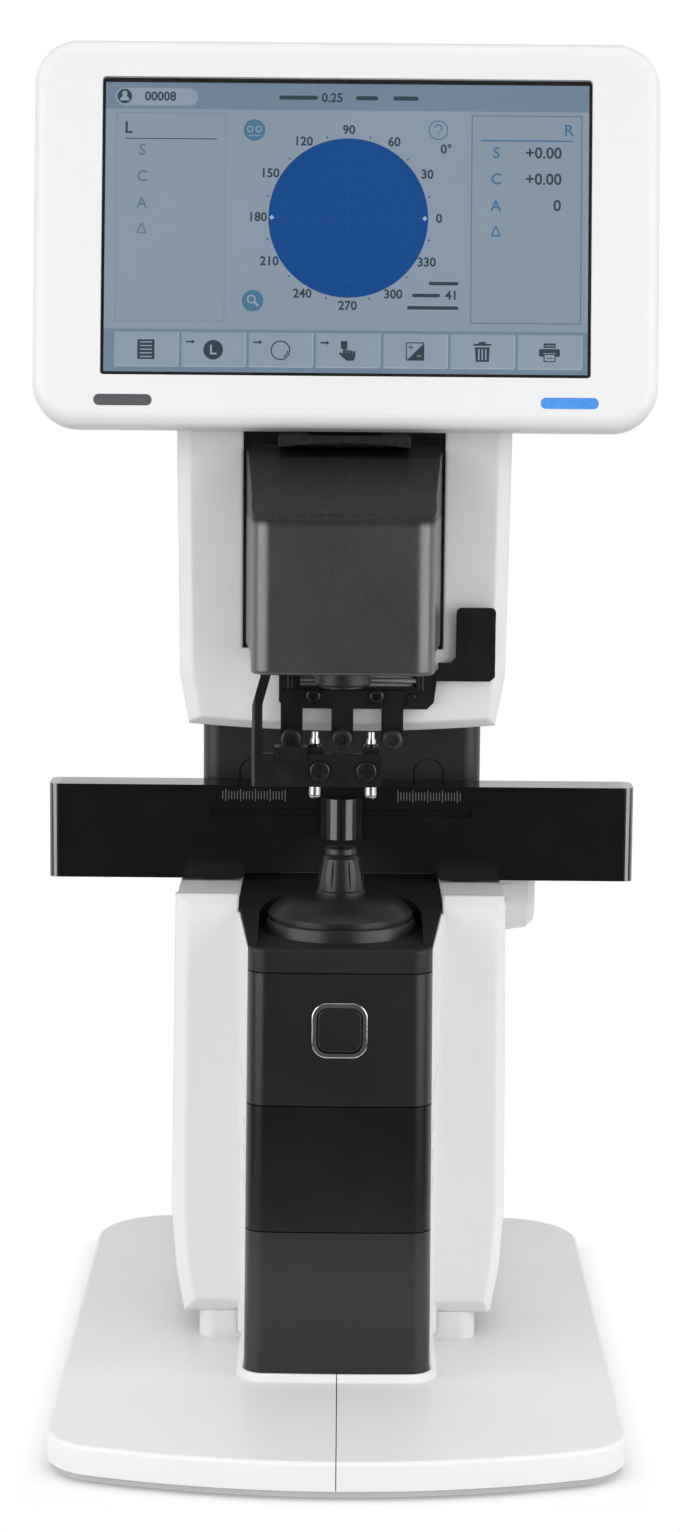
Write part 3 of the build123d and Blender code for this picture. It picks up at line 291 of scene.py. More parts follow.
def build_grain_group():
    """Moulded plastic: fine pebble grain over faint cloudy flow marks."""
    group, entry, out = new_group(
        "moulded_grain",
        [("Colour", "NodeSocketColor", (0.8, 0.8, 0.8, 1)),
         ("Worn Colour", "NodeSocketColor", (0.7, 0.7, 0.7, 1)),
         ("Grain Size", "NodeSocketFloat", 0.0007),
         ("Speckle", "NodeSocketFloat", 0.1)],
        [("Colour", "NodeSocketColor"), ("Mask", "NodeSocketFloat"), ("Height", "NodeSocketFloat")])
    place = add_node(group, "ShaderNodeTexCoord").outputs["Object"]
    per_metre = calculate(group, "DIVIDE", 1.0, entry.outputs["Grain Size"])
    pebble = noise(group, place, per_metre, 3.0, 0.6)
    cloud = noise(group, place, 24.0, 3.0, 0.55)
    flow = spread(group, cloud, 0.35, 0.7)
    fleck = spread(group, pebble, 0.42, 0.68)
    share = multiply(group, fleck, entry.outputs["Speckle"])
    flecked = mix_colour(group, share, entry.outputs["Colour"], entry.outputs["Worn Colour"])
    tinted = mix_colour(group, multiply(group, flow, 0.22), flecked, entry.outputs["Worn Colour"])
    fill(group, out, Colour=tinted, Mask=flow, Height=pebble)
    return group


def build_brush_group():
    """Drawn or turned metal: fine lines across the stretch, with broader streaks."""
    group, entry, out = new_group(
        "drawn_metal",
        [("Lines", "NodeSocketVector", (1200, 1200, 30)),
         ("Colour", "NodeSocketColor", (0.6, 0.6, 0.62, 1)),
         ("Dark Colour", "NodeSocketColor", (0.45, 0.45, 0.47, 1))],
        [("Colour", "NodeSocketColor"), ("Streak", "NodeSocketFloat"),
         ("Height", "NodeSocketFloat")])
    place = add_node(group, "ShaderNodeTexCoord").outputs["Object"]
    stretch = fill(group, add_node(group, "ShaderNodeMapping"), Vector=place,
                   Scale=entry.outputs["Lines"])
    line = noise(group, stretch.outputs["Vector"], 1.0, 2.0)
    broad = noise(group, place, 160.0, 2.0)
    streak = spread(group, line, 0.3, 0.7)
    tone = mix_colour(group, multiply(group, streak, 0.5), entry.outputs["Colour"],
                      entry.outputs["Dark Colour"])
    fill(group, out, Colour=tone, Streak=spread(group, broad, 0.3, 0.7), Height=line)
    return group


def build_smudge_group():
    """Handled gloss: soft finger marks and fine wiping lines, as a mask."""
    group, entry, out = new_group(
        "handled_gloss",
        [("Amount", "NodeSocketFloat", 0.5)],
        [("Mask", "NodeSocketFloat"), ("Height", "NodeSocketFloat")])
    place = add_node(group, "ShaderNodeTexCoord").outputs["Object"]
    smear = noise(group, place, 55.0, 4.0, 0.65)
    wipe = fill(group, add_node(group, "ShaderNodeMapping"), Vector=place, Scale=(40, 900, 900))
    lines = noise(group, wipe.outputs["Vector"], 1.0, 2.0)
    mask = multiply(group, spread(group, smear, 0.45, 0.75), entry.outputs["Amount"])
    fill(group, out, Mask=mask, Height=lines)
    return group


def build_pixel_group():
    """Lit display: a fine dot grain over soft, broad clouds."""
    group, entry, out = new_group(
        "lit_display",
        [("Colour", "NodeSocketColor", (0.2, 0.3, 0.4, 1)),
         ("Dim Colour", "NodeSocketColor", (0.15, 0.25, 0.35, 1)),
         ("Dots", "NodeSocketFloat", 2200.0)],
        [("Colour", "NodeSocketColor")])
    place = add_node(group, "ShaderNodeTexCoord").outputs["Object"]
    dots = spread(group, noise(group, place, entry.outputs["Dots"], 1.0), 0.3, 0.7)
    shade = spread(group, noise(group, place, 14.0, 1.0), 0.35, 0.65)
    share = calculate(group, "ADD", multiply(group, dots, 0.3), multiply(group, shade, 0.5))
    fill(group, out, Colour=mix_colour(group, share, entry.outputs["Colour"],
                                       entry.outputs["Dim Colour"]))
    return group


def shared_effect(name, build):
    return bpy.data.node_groups.get(name) or build()


def place_effect(tree, name, build, **values):
    """The shared effect in a material, with the material's own values."""
    return fill(tree, add_node(tree, "ShaderNodeGroup", node_tree=shared_effect(name, build)),
                **values)


def as_rgba(colour):
    return (colour[0], colour[1], colour[2], 1.0)


def shaded(colour, share):
    return (colour[0] * share, colour[1] * share, colour[2] * share, 1.0)


def add_relief(tree, shader, height, strength, distance):
    """Feeds a height to the shader's normal, and returns the node in between."""
    relief = fill(tree, add_node(tree, "ShaderNodeBump"), Strength=strength, Distance=distance,
                  Height=height)
    wire(tree, relief.outputs["Normal"], shader.inputs["Normal"])
    return relief


def start_material(name):
    """An empty material and its Principled shader."""
    material = bpy.data.materials.new(name)
    material.use_nodes = True
    shader = material.node_tree.nodes["Principled BSDF"]
    return material, material.node_tree, shader


def plastic(name, colour, worn, grain, roughness, bump, speckle=0.12, specular=0.5, soft=0.0):
    """Moulded plastic with its grain in colour, roughness and relief, and softened edges."""
    material, tree, shader = start_material(name)
    skin = place_effect(tree, "moulded_grain", build_grain_group, Colour=as_rgba(colour),
                        Worn_Colour=as_rgba(worn), Grain_Size=grain, Speckle=speckle)
    rough = spread(tree, skin.outputs["Mask"], 0, 1, roughness - 0.04, roughness + 0.04)
    fill(tree, shader, Base_Color=skin.outputs["Colour"], Roughness=rough,
         Specular_IOR_Level=specular)
    relief = add_relief(tree, shader, skin.outputs["Height"], bump, 0.0001)
    if soft:
        edges = fill(tree, add_node(tree, "ShaderNodeBevel", samples=6), Radius=soft)
        wire(tree, edges.outputs["Normal"], relief.inputs["Normal"])
    return material


def glossy(name, colour, roughness, amount=0.5, coat=0.0, specular=0.5):
    """Polished moulding or lacquer with finger marks in its gloss."""
    material, tree, shader = start_material(name)
    marks = place_effect(tree, "handled_gloss", build_smudge_group, Amount=amount)
    tone = mix_colour(tree, multiply(tree, marks.outputs["Mask"], 0.25), as_rgba(colour),
                      as_rgba([c + 0.012 for c in colour[:3]]))
    rough = spread(tree, marks.outputs["Mask"], 0, 1, roughness, roughness + 0.16)
    fill(tree, shader, Base_Color=tone, Roughness=rough, Specular_IOR_Level=specular,
         Coat_Weight=coat, Coat_Roughness=0.06)
    add_relief(tree, shader, marks.outputs["Height"], 0.04, 0.00005)
    return material


def metal(name, colour, dark, lines, roughness, bump=0.15, metallic=1.0):
    """Bare or painted metal with its drawing or turning lines."""
    material, tree, shader = start_material(name)
    drawn = place_effect(tree, "drawn_metal", build_brush_group, Lines=lines,
                         Colour=as_rgba(colour), Dark_Colour=as_rgba(dark))
    rough = spread(tree, drawn.outputs["Streak"], 0, 1, roughness - 0.05, roughness + 0.08)
    fill(tree, shader, Base_Color=drawn.outputs["Colour"], Roughness=rough, Metallic=metallic)
    add_relief(tree, shader, drawn.outputs["Height"], bump, 0.00003)
    return material


def clear_glass(name, tint, roughness=0.02, worn=0.03):
    """Tinted glass whose finger marks dull its colour and its gloss a little."""
    material, tree, shader = start_material(name)
    marks = place_effect(tree, "handled_gloss", build_smudge_group, Amount=0.3)
    tone = mix_colour(tree, marks.outputs["Mask"], as_rgba(tint), shaded(tint, 0.96))
    rough = spread(tree, marks.outputs["Mask"], 0, 1, roughness, roughness + worn)
    fill(tree, shader, Base_Color=tone, Roughness=rough, Transmission_Weight=1.0, IOR=1.45)
    return material


def lit(name, colour, brightness, dim=0.9, dots=2200.0, roughness=0.35):
    """Part of the display's picture: mostly its own light, partly its surface colour."""
    material, tree, shader = start_material(name)
    grain = place_effect(tree, "lit_display", build_pixel_group, Colour=as_rgba(colour),
                         Dim_Colour=shaded(colour, dim), Dots=dots).outputs["Colour"]
    unlit = mix_colour(tree, 1 - brightness, (0, 0, 0, 1), grain)
    fill(tree, shader, Emission_Color=grain, Base_Color=unlit, Emission_Strength=brightness,
         Roughness=roughness, Specular_IOR_Level=0.1)
    return material


def board_green(name):
    """Solder resist with copper tracks that show through it."""
    material, tree, shader = start_material(name)
    place = add_node(tree, "ShaderNodeTexCoord").outputs["Object"]
    tracks = add_node(tree, "ShaderNodeTexBrick")
    fill(tree, tracks, Vector=place, Scale=260, Color1=(0.012, 0.09, 0.035, 1),
         Color2=(0.016, 0.115, 0.045, 1), Mortar=(0.03, 0.17, 0.07, 1), Mortar_Size=0.03)
    fill(tree, shader, Base_Color=tracks.outputs["Color"], Roughness=0.3)
    add_relief(tree, shader, tracks.outputs["Fac"], 0.2, 0.00005)
    return material


def away_from(tree, axis, middle, start, end):
    """0 near a plane across the part and 1 from the end distance on, on both of its sides."""
    place = add_node(tree, "ShaderNodeTexCoord").outputs["Object"]
    apart = add_node(tree, "ShaderNodeSeparateXYZ")
    wire(tree, place, apart.inputs[0])
    offset = calculate(tree, "SUBTRACT", apart.outputs[axis], middle)
    return spread(tree, calculate(tree, "ABSOLUTE", offset), start, end)


def vary_gloss(material, axis, start, end, low, high):
    """Lets the gloss go from low to high between two distances along an axis of the part."""
    tree = material.node_tree
    share = away_from(tree, axis, 0, start, end)
    shader = tree.nodes["Principled BSDF"]
    wire(tree, mix_value(tree, share, low, high), shader.inputs["Specular IOR Level"])
    return material


def blacken(material, axis, middle, reach, inside=True):
    """Blackens the metal within, or else beyond, a distance from a plane across the part."""
    tree = material.node_tree
    share = away_from(tree, axis, middle, reach, reach + 0.0002)
    shader = tree.nodes["Principled BSDF"]
    bare = shader.inputs["Base Color"].links[0].from_socket
    black = (0.03, 0.03, 0.031, 1)
    ends = (black, bare) if inside else (bare, black)
    wire(tree, mix_colour(tree, share, *ends), shader.inputs["Base Color"])
    return material


def dress(material, *names):
    """Gives CAD nodes their finish, in every material slot they have."""
    for name in names:
        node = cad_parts[name]
        if not node.material_slots:
            node.data.materials.append(material)
        for place in node.material_slots:
            place.material = material


def screen_place():
    """From the screen's own upright plane, in metres, to the frame."""
    return Matrix.Translation(SCREEN_MIDDLE) @ Matrix.Rotation(-SCREEN_LEAN, 4, "X")


def new_object(name, data):
    """An object at the scene's origin."""
    made = bpy.data.objects.new(name, data)
    bpy.context.scene.collection.objects.link(made)
    return made


def finished_mesh(name, bm, materials, place=None):
    """Object at the origin with the mesh's place in its vertices."""
    if place is not None:
        bm.transform(place)
    bmesh.ops.recalc_face_normals(bm, faces=bm.faces)
    mesh = bpy.data.meshes.new(name)
    bm.to_mesh(mesh)
    bm.free()
    for material in materials:
        mesh.materials.append(material)
    return new_object(name, mesh)


def add_prism(bm, points, y0, y1, slot=0):
    """Closed plate from an outline of (x, z) points, between two depths."""
    front = [bm.verts.new((x, y0, z)) for x, z in points]
    back = [bm.verts.new((x, y1, z)) for x, z in points]
    faces = [bm.faces.new(front), bm.faces.new(list(reversed(back)))]
    for i in range(len(points)):
        j = (i + 1) % len(points)
        faces.append(bm.faces.new((front[i], back[i], back[j], front[j])))
    for face in faces:
        face.material_index = slot


def round_points(x, z, r, count=32, start=0.0, sweep=2 * math.pi):
    """Points on a circle, or on an arc with both of its ends."""
    closed = abs(sweep - 2 * math.pi) < 1e-6
    steps = count if closed else count - 1
    turns = [start + sweep * i / steps for i in range(count)]
    return [(x + r * math.cos(a), z + r * math.sin(a)) for a in turns]


def pill_points(x0, x1, z0, z1, r, count=6):
    """Rounded rectangle outline."""
    corners = ((x1 - r, z1 - r, 0), (x0 + r, z1 - r, 90), (x0 + r, z0 + r, 180),
               (x1 - r, z0 + r, 270))
    points = []
    for x, z, turn in corners:
        for i in range(count):
            a = math.radians(turn + 90 * i / (count - 1))
            points.append((x + r * math.cos(a), z + r * math.sin(a)))
    return points


def plain_mesh(source):
    """The evaluated source as a mesh of its own; the source is removed."""
    graph = bpy.context.evaluated_depsgraph_get()
    mesh = bpy.data.meshes.new_from_object(source.evaluated_get(graph))
    bpy.data.objects.remove(source)
    return mesh


class LENSMETER_OT_housings(bpy.types.Operator):
    """Finish the white housings, the base and the knob"""

    bl_idname = "lensmeter.housings"
    bl_label = "White housings"

    def execute(self, context):
        settings = context.scene.lensmeter_housings
        white = tuple(settings.white)
        worn = tuple(c * 0.93 for c in white)
        shell = plastic("white_housing", white, worn, settings.grain, settings.roughness, 0.12)
        dress(shell, "base_cover_left", "base_cover_right", "rear_cover", "monitor_bezel",
              "monitor_rear_cover")
        soft = plastic("soft_white_housing", white, worn, settings.grain, settings.roughness, 0.12,
                       soft=0.0018)
        dress(soft, "head_shell_left", "head_shell_right", "body_shell_left", "body_shell_right")
        knob = plastic("knob_white", white, worn, settings.grain * 0.7, 0.36, 0.08)
        dress(knob, "table_knob")
        # Base pan: its own grey darkened to the shadow under the base, partly painted shadow
        pan = tuple(settings.pan)
        dress(plastic("pan_grey_and_painted_shadow", pan, tuple(c * 0.8 for c in pan), 0.0009, 0.6, 0.3), "base_pan")
        rubber = plastic("foot_rubber", (0.02, 0.02, 0.021), (0.035, 0.035, 0.036), 0.0005, 0.85,
                         0.4, specular=0.25)
        dress(rubber, "rubber_feet")
        return {"FINISHED"}


class LENSMETER_OT_black_parts(bpy.types.Operator):
    """Finish the nose, the column, the neck and the reading table"""

    bl_idname = "lensmeter.black_parts"
    bl_label = "Black mouldings"

    def execute(self, context):
        settings = context.scene.lensmeter_blacks
        column = tuple(settings.column)
        nose = tuple(settings.nose)
        lighter = tuple(c * 2.1 for c in column)
        panel = plastic("column_black", column, lighter, 0.0006, 0.3, 0.14, 0.3, 0.6)
        dress(panel, "column_control_panel", "column_frame", "measure_button")
        # Mid panel: the column's black darkened to six tenths of its colour, which is painted shade
        middle = plastic("column_mid_black_painted_shade", tuple(c * 0.6 for c in column), column, 0.0006, 0.25,
                         0.14, 0.3, 0.4)
        dress(middle, "column_mid_panel")
        # Lower panel: the column's black lightened by a quarter, which is a painted reflection of
        # the white base
        lower = plastic("column_low_black_painted_reflection", tuple(c * 1.25 for c in column), lighter, 0.0006, 0.28,
                        0.16, 0.3, 0.55)
        dress(lower, "column_lower_panel")
        cap = plastic("cap_black", column, lighter, 0.0007, 0.45, 0.25, 0.35, 0.4)
        dress(cap, "column_cap", "sensor_tube")
        neck = plastic("neck_black", lighter, tuple(c * 1.5 for c in lighter), 0.0007, 0.42, 0.25)
        dress(neck, "throat_cover")
        eroded = plastic("nose_black", nose, tuple(c * 2.6 for c in nose), settings.nose_grain,
                         0.33, 0.5, 0.5, soft=0.0012)
        dress(vary_gloss(eroded, "Z", *SLOPE_FOOT, 1.6, 0.1), "nose_cover", "monitor_bracket")
        dome = plastic("dome_black", tuple(c * 1.1 for c in column), lighter, 0.0005, 0.34, 0.16,
                       0.3, 0.52)
        dress(dome, "dome_ring", "dome_cover", "nosepiece")
        bar = glossy("bar_gloss", tuple(settings.gloss), 0.12, 0.6, 0.1)
        dress(vary_gloss(bar, "X", *BAR_END, 0.2, 2.0), "table_bar")
        dress(glossy("slider_gloss", tuple(settings.gloss), 0.16, 0.4, 0.9, 0.6),
              "nose_pad_slider")
        barrel = plastic("barrel_black", column, lighter, 0.0004, 0.42, 0.1, 0.2, 0.7)
        dress(barrel, "objective_barrel")
        dress(plastic("socket_black", (0.014, 0.014, 0.014), (0.03, 0.03, 0.03), 0.0004, 0.5, 0.2),
              "power_inlet", "power_switch")
        return {"FINISHED"}


class LENSMETER_OT_metalwork(bpy.types.Operator):
    """Finish the presser, the marking unit, the rods and every other metal part"""

    bl_idname = "lensmeter.metalwork"
    bl_label = "Metalwork"

    def execute(self, context):
        painted = metal("painted_black", (0.0045, 0.0045, 0.0046), (0.009, 0.009, 0.009),
                        (900, 900, 900), 0.34, 0.35, metallic=0.0)
        dress(painted, "presser_bracket", "presser_legs", "marker_arm", "hartmann_plate",
              "port_block")
        screws = metal("blackened_screw", (0.08, 0.08, 0.082), (0.04, 0.04, 0.04),
                       (1500, 1500, 1500), 0.34, 0.2)
        dress(screws, "presser_screws", "marker_screws")
        pins = metal("pin_steel", (0.62, 0.62, 0.64), (0.45, 0.45, 0.47), (60, 60, 2600), 0.22,
                     0.12)
        dress(blacken(pins, "Z", *PIN_COLLAR), "marking_pins")
        rods = metal("rod_steel", (0.78, 0.78, 0.8), (0.6, 0.6, 0.62), (2600, 60, 60), 0.4, 0.12)
        dress(blacken(rods, "X", *BARE_ROD, False), "presser_rods")
        table_steel = metal("table_steel", (0.6, 0.6, 0.62), (0.44, 0.44, 0.46), (60, 2600, 60),
                            0.22, 0.12)
        dress(table_steel, "table_rods", "table_rack", "knob_shaft", "hinge_pin", "case_screws")
        dress(metal("chrome_ring", (0.68, 0.68, 0.7), (0.5, 0.5, 0.52), (600, 600, 600), 0.1, 0.05),
              "button_ring")
        dress(metal("galvanised", (0.5, 0.51, 0.53), (0.36, 0.37, 0.39), (120, 120, 60), 0.4, 0.2),
              "chassis_column")
        dress(metal("cast_aluminium", (0.5, 0.5, 0.51), (0.38, 0.38, 0.39), (700, 700, 700), 0.5,
                    0.6), "head_frame", "slide_block", "power_supply")
        dress(metal("sintered_bronze", (0.52, 0.36, 0.16), (0.34, 0.22, 0.09), (1800, 1800, 1800),
                    0.42, 0.4), "rod_bushes")
        return {"FINISHED"}


class LENSMETER_OT_inner_parts(bpy.types.Operator):
    """Finish the boards, lenses and rubber tips"""

    bl_idname = "lensmeter.inner_parts"
    bl_label = "Boards, lenses and tips"

    def execute(self, context):
        dress(board_green("solder_resist"), "main_board", "sensor_board", "light_source")
        dress(clear_glass("coated_glass", (0.93, 0.97, 0.98)), "cover_glass", "collimator_lens")
        tip = plastic("tip_rubber", (0.022, 0.021, 0.02), (0.05, 0.048, 0.046), 0.0004, 0.36, 0.25)
        dress(tip, "presser_tips")
        return {"FINISHED"}


def layer_depths(layer):
    """Front and back of a printed layer, in metres, between the display and its front glass."""
    front = (DISPLAY_FACE - LAYER_GAP - LAYER_STEP * layer) * MM
    return front, front + LAYER_T * MM


class Picture:
    """Flat shapes in millimetres from the middle of the display, gathered in one mesh."""

    def __init__(self):
        self.bm = bmesh.new()

    def shape(self, points, layer=MARK, slot=INK):
        y0, y1 = layer_depths(layer)
        add_prism(self.bm, [(x * MM, (z + SCREEN_UP) * MM) for x, z in points], y0, y1, slot)

    def pill(self, x0, x1, z0, z1, r, layer=MARK, slot=INK):
        self.shape(pill_points(x0, x1, z0, z1, r), layer, slot)

    def bar(self, x0, x1, z0, z1, layer=MARK, slot=INK):
        self.shape([(x0, z0), (x1, z0), (x1, z1), (x0, z1)], layer, slot)

    def disc(self, x, z, r, layer=MARK, slot=INK, count=40):
        self.shape(round_points(x, z, r, count), layer, slot)

    def ring(self, x, z, r, width, layer=MARK, slot=INK, count=40, start=0.0,
             sweep=2 * math.pi):
        outer = round_points(x, z, r, count, start, sweep)
        inner = round_points(x, z, r - width, count, start, sweep)
        closed = abs(sweep - 2 * math.pi) < 1e-6
        for i in range(count if closed else count - 1):
            j = (i + 1) % count
            self.shape([outer[i], outer[j], inner[j], inner[i]], layer, slot)

    def line(self, x0, z0, x1, z1, width, layer=MARK, slot=INK):
        run = Vector((x1 - x0, z1 - z0))
        side = Vector((-run.y, run.x)).normalized() * width / 2
        ends = ((x0 + side.x, z0 + side.y), (x0 - side.x, z0 - side.y))
        others = ((x1 - side.x, z1 - side.y), (x1 + side.x, z1 + side.y))
        self.shape(ends + others, layer, slot)

    def frame(self, x0, x1, z0, z1, width, layer=MARK, slot=INK):
        self.bar(x0, x1, z0, z0 + width, layer, slot)
        self.bar(x0, x1, z1 - width, z1, layer, slot)
        self.bar(x0, x0 + width, z0 + width, z1 - width, layer, slot)
        self.bar(x1 - width, x1, z0 + width, z1 - width, layer, slot)

    def finish(self, name, materials):
        piece = finished_mesh(name, self.bm, materials, screen_place())
        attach(piece, "monitor")
        return piece


PICTURE_W = 152.4
PICTURE_H = 91.44
LEFT_PANEL = (-72.8, -38.3, -29.8, 36.2)
RIGHT_PANEL = (39.1, 74.1, -29.8, 36.2)
TARGET = (0.5, 3.3)
LINE_W = 0.14
TOP_BAR_H = 8.4
TILE_BAR_TOP = -32.2
TILE_Z = (-43.8, -33.2)
TILE_W = 19.9
TILE_PITCH = 21.18
TILE_FIRST = -72.8
TILES = 7


class LENSMETER_OT_screen_ground(bpy.types.Operator):
    """Make the display's ground, its bars, panels and button tiles"""

    bl_idname = "lensmeter.screen_ground"
    bl_label = "Screen ground"

    def execute(self, context):
        settings = context.scene.lensmeter_screen
        ground = tuple(settings.ground)
        share = settings.brightness
        half_w = PICTURE_W / 2
        half_h = PICTURE_H / 2
        picture = Picture()
        picture.bar(-half_w, half_w, -half_h, half_h, BASE, GROUND)
        picture.bar(-half_w, half_w, half_h - TOP_BAR_H, half_h, AREA, STRIP)
        picture.bar(-half_w, half_w, -half_h, TILE_BAR_TOP, AREA, STRIP)
        picture.pill(-73.2, -47.2, 38.4, 43.9, 2.7, PLATE, TILE)
        for x0, x1, z0, z1 in (LEFT_PANEL, RIGHT_PANEL):
            picture.bar(x0, x1, z0, z1, AREA, PANEL)
        x0, x1, z0, z1 = LEFT_PANEL
        picture.frame(x0, x1, z0, z1, 0.18, PLATE, STRIP)
        x0, x1, z0, z1 = RIGHT_PANEL
        picture.frame(x0, x1, z0, z1, 0.4, PLATE, OUTLINE)
        for i in range(TILES):
            x0 = TILE_FIRST + TILE_PITCH * i
            picture.bar(x0, x0 + TILE_W, *TILE_Z, PLATE, TILE)
            picture.bar(x0 + TILE_W, x0 + TILE_W + 0.35, *TILE_Z, PLATE, EDGE)
            picture.bar(x0, x0 + TILE_W, TILE_Z[0] - 0.3, TILE_Z[0], PLATE, EDGE)
        colours = [
            lit("display_ground", ground, share),
            lit("display_bar", (ground[0] * 0.66, ground[1] * 0.74, ground[2] * 0.81), share),
            lit("display_tile", tuple(c * 1.06 for c in ground), share),
            lit("display_panel", tuple(c * 0.99 for c in ground), share),
            lit("display_outline", tuple(c * 0.62 for c in ground), share),
            lit("display_light_edge", tuple(c * 1.35 for c in ground), share),
        ]
        picture.finish("screen_ground", colours)
        dress(plastic("display_frame", (0.006, 0.006, 0.008), (0.012, 0.012, 0.014), 0.0005, 0.4,
                      0.1), "lcd_panel")
        dress(clear_glass("front_glass", (0.97, 0.98, 0.985), 0.0, 0.0), "touch_glass")
        return {"FINISHED"}


class LENSMETER_OT_screen_target(bpy.types.Operator):
    """Make the round alignment target with its rings, cross lines and marks"""

    bl_idname = "lensmeter.screen_target"
    bl_label = "Screen target"

    def execute(self, context):
        settings = context.scene.lensmeter_screen
        share = settings.brightness
        blue = tuple(settings.target)
        radius = settings.target_radius / MM
        x, z = TARGET
        picture = Picture()
        picture.disc(x, z, radius, AREA, FIELD, 96)
        for r in (5, 10, 15, 20):
            picture.ring(x, z, r, LINE_W, PLATE, LINE, 64)
        picture.line(x - radius + 0.3, z, x + radius - 0.3, z, LINE_W, PLATE, LINE)
        picture.line(x, z - radius + 0.3, x, z + radius - 0.3, LINE_W, MARK, LINE)
        for side in (-1, 1):
            tip = x + side * (radius - 1.1)
            diamond = [(tip - 0.8, z), (tip, z - 0.8), (tip + 0.8, z), (tip, z + 0.8)]
            picture.shape(diamond, MARK, TIP)
        picture.finish("screen_target", [
            lit("target_blue", blue, share, 0.86),
            lit("target_line", (0.02, 0.105, 0.33), share),
            lit("target_mark", (0.36, 0.52, 0.7), share),
        ])
        self.angle_marks(context, x, z, radius + 1.1)
        return {"FINISHED"}

    def angle_marks(self, context, x, z, radius):
        """Twelve short marks halfway between the numbers round the target."""
        ink = lit("angle_mark_ink", tuple(context.scene.lensmeter_screen.ink), 0.6)
        marks = round_marks("angle_marks", radius * MM, 12, 0.0008, 0.00035, LAYER_T * MM, ink)
        depth = sum(layer_depths(AREA)) / 2
        marks.transform(screen_place() @ Matrix.Translation((x * MM, depth, (z + SCREEN_UP) * MM)))
        piece = new_object("angle_marks", marks)
        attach(piece, "monitor")


def start_tree(name, count, **values):
    """Geometry tree with a named input for the count and for each value, and its inlet node."""
    tree = bpy.data.node_groups.new(name, "GeometryNodeTree")
    for label, value in values.items():
        socket = tree.interface.new_socket(label, in_out="INPUT", socket_type="NodeSocketFloat")
        socket.default_value = value
    socket = tree.interface.new_socket("Count", in_out="INPUT", socket_type="NodeSocketInt")
    socket.default_value = count
    return tree, add_node(tree, "NodeGroupInput")


def combine(tree, x=0.0, y=0.0, z=0.0):
    """Vector of three numbers or outputs."""
    return fill(tree, add_node(tree, "ShaderNodeCombineXYZ"), X=x, Y=y, Z=z).outputs["Vector"]


def plate(tree, x, y, z):
    """Mesh of one small plate, of three numbers or outputs."""
    cube = add_node(tree, "GeometryNodeMeshCube")
    return fill(tree, cube, Size=combine(tree, x, y, z)).outputs["Mesh"]


def round_marks(name, radius, count, length, width, thickness, material):
    """Small plates round a circle in the XZ plane, made by a node tree with named inputs."""
    tree, entry = start_tree(name + "_tree", count, Radius=radius, Length=length, Width=width,
                             Thickness=thickness)
    circle = fill(tree, add_node(tree, "GeometryNodeMeshCircle"),
                  Vertices=entry.outputs["Count"], Radius=entry.outputs["Radius"])
    upright = fill(tree, add_node(tree, "GeometryNodeTransform"),
                   Rotation=(math.pi / 2, math.pi / count, 0), Geometry=circle.outputs["Mesh"])
    place = add_node(tree, "GeometryNodeInputPosition")
    aim = fill(tree, add_node(tree, "FunctionNodeAlignRotationToVector", axis="X", pivot_axis="Y"),
               Vector=place.outputs["Position"])
    spots = fill(tree, add_node(tree, "GeometryNodeInstanceOnPoints"),
                 Points=upright.outputs["Geometry"], Rotation=aim.outputs["Rotation"],
                 Instance=plate(tree, entry.outputs["Length"], entry.outputs["Thickness"],
                                entry.outputs["Width"]))
    return run_tree(name, tree, spots.outputs["Instances"], material)


def run_tree(name, tree, instances, material):
    """Ends a tree in real geometry with its material, and returns the plain mesh it gives."""
    tree.interface.new_socket("Mesh", in_out="OUTPUT", socket_type="NodeSocketGeometry")
    real = fill(tree, add_node(tree, "GeometryNodeRealizeInstances"), Geometry=instances)
    finish = fill(tree, add_node(tree, "GeometryNodeSetMaterial"), Material=material,
                  Geometry=real.outputs["Geometry"])
    fill(tree, add_node(tree, "NodeGroupOutput"), Mesh=finish.outputs["Geometry"])
    holder = new_object(name + "_holder", bpy.data.meshes.new(name + "_holder"))
    modifier = holder.modifiers.new("marks", "NODES")
    modifier.node_group = tree
    for item in tree.interface.items_tree:
        if item.in_out == "INPUT":
            modifier[item.identifier] = item.default_value
    mesh = plain_mesh(holder)
    mesh.name = name
    return mesh


class LENSMETER_OT_screen_numbers(bpy.types.Operator):
    """Write the angles round the target and the readings in the panels"""

    bl_idname = "lensmeter.screen_numbers"
    bl_label = "Screen numbers"

    def execute(self, context):
        settings = context.scene.lensmeter_screen
        share = settings.brightness
        x, z = TARGET
        reach_x = settings.target_radius / MM + 3.4
        reach_z = settings.target_radius / MM + 2.6
        words = []
        for angle in range(0, 360, 30):
            a = math.radians(angle)
            at = (x + reach_x * math.cos(a), z + reach_z * math.sin(a))
            words.append((str(angle), *at, 3.1, DARK))
        for text, *at in (("0°", 31.2, 25.2), ("00008", -59.0, 41.2), ("0.25", -4.8, 41.2),
                          ("41", 33.2, -21.0)):
            words.append((text, *at, 3.1, DARK))
        for text, height in (("+0.00", 24.2), ("+0.00", 15.9), ("0", 7.6)):
            words.append((text, 67.4 - 1.1 * len(text), height, 3.9, DARK))
        words.append(("L", -69.0, 31.2, 4.0, DARK))
        words.append(("R", 69.8, 31.4, 3.9, VIVID))
        for text, height in (("S", 24.2), ("C", 15.9), ("A", 7.4)):
            words.append((text, -64.6, height, 3.8, FAINT))
            words.append((text, 47.0, height, 3.8, VIVID))
        bm = bmesh.new()
        for text, at_x, at_z, size, slot in words:
            add_word(bm, text, at_x, at_z, size, slot)
        ink = tuple(settings.ink)
        piece = finished_mesh("screen_numbers", bm, [
            lit("number_ink", ink, share),
            lit("number_blue", DEEP_BLUE, share),
            lit("number_pale", (0.15, 0.215, 0.3), share),
        ], screen_place())
        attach(piece, "monitor")
        return {"FINISHED"}


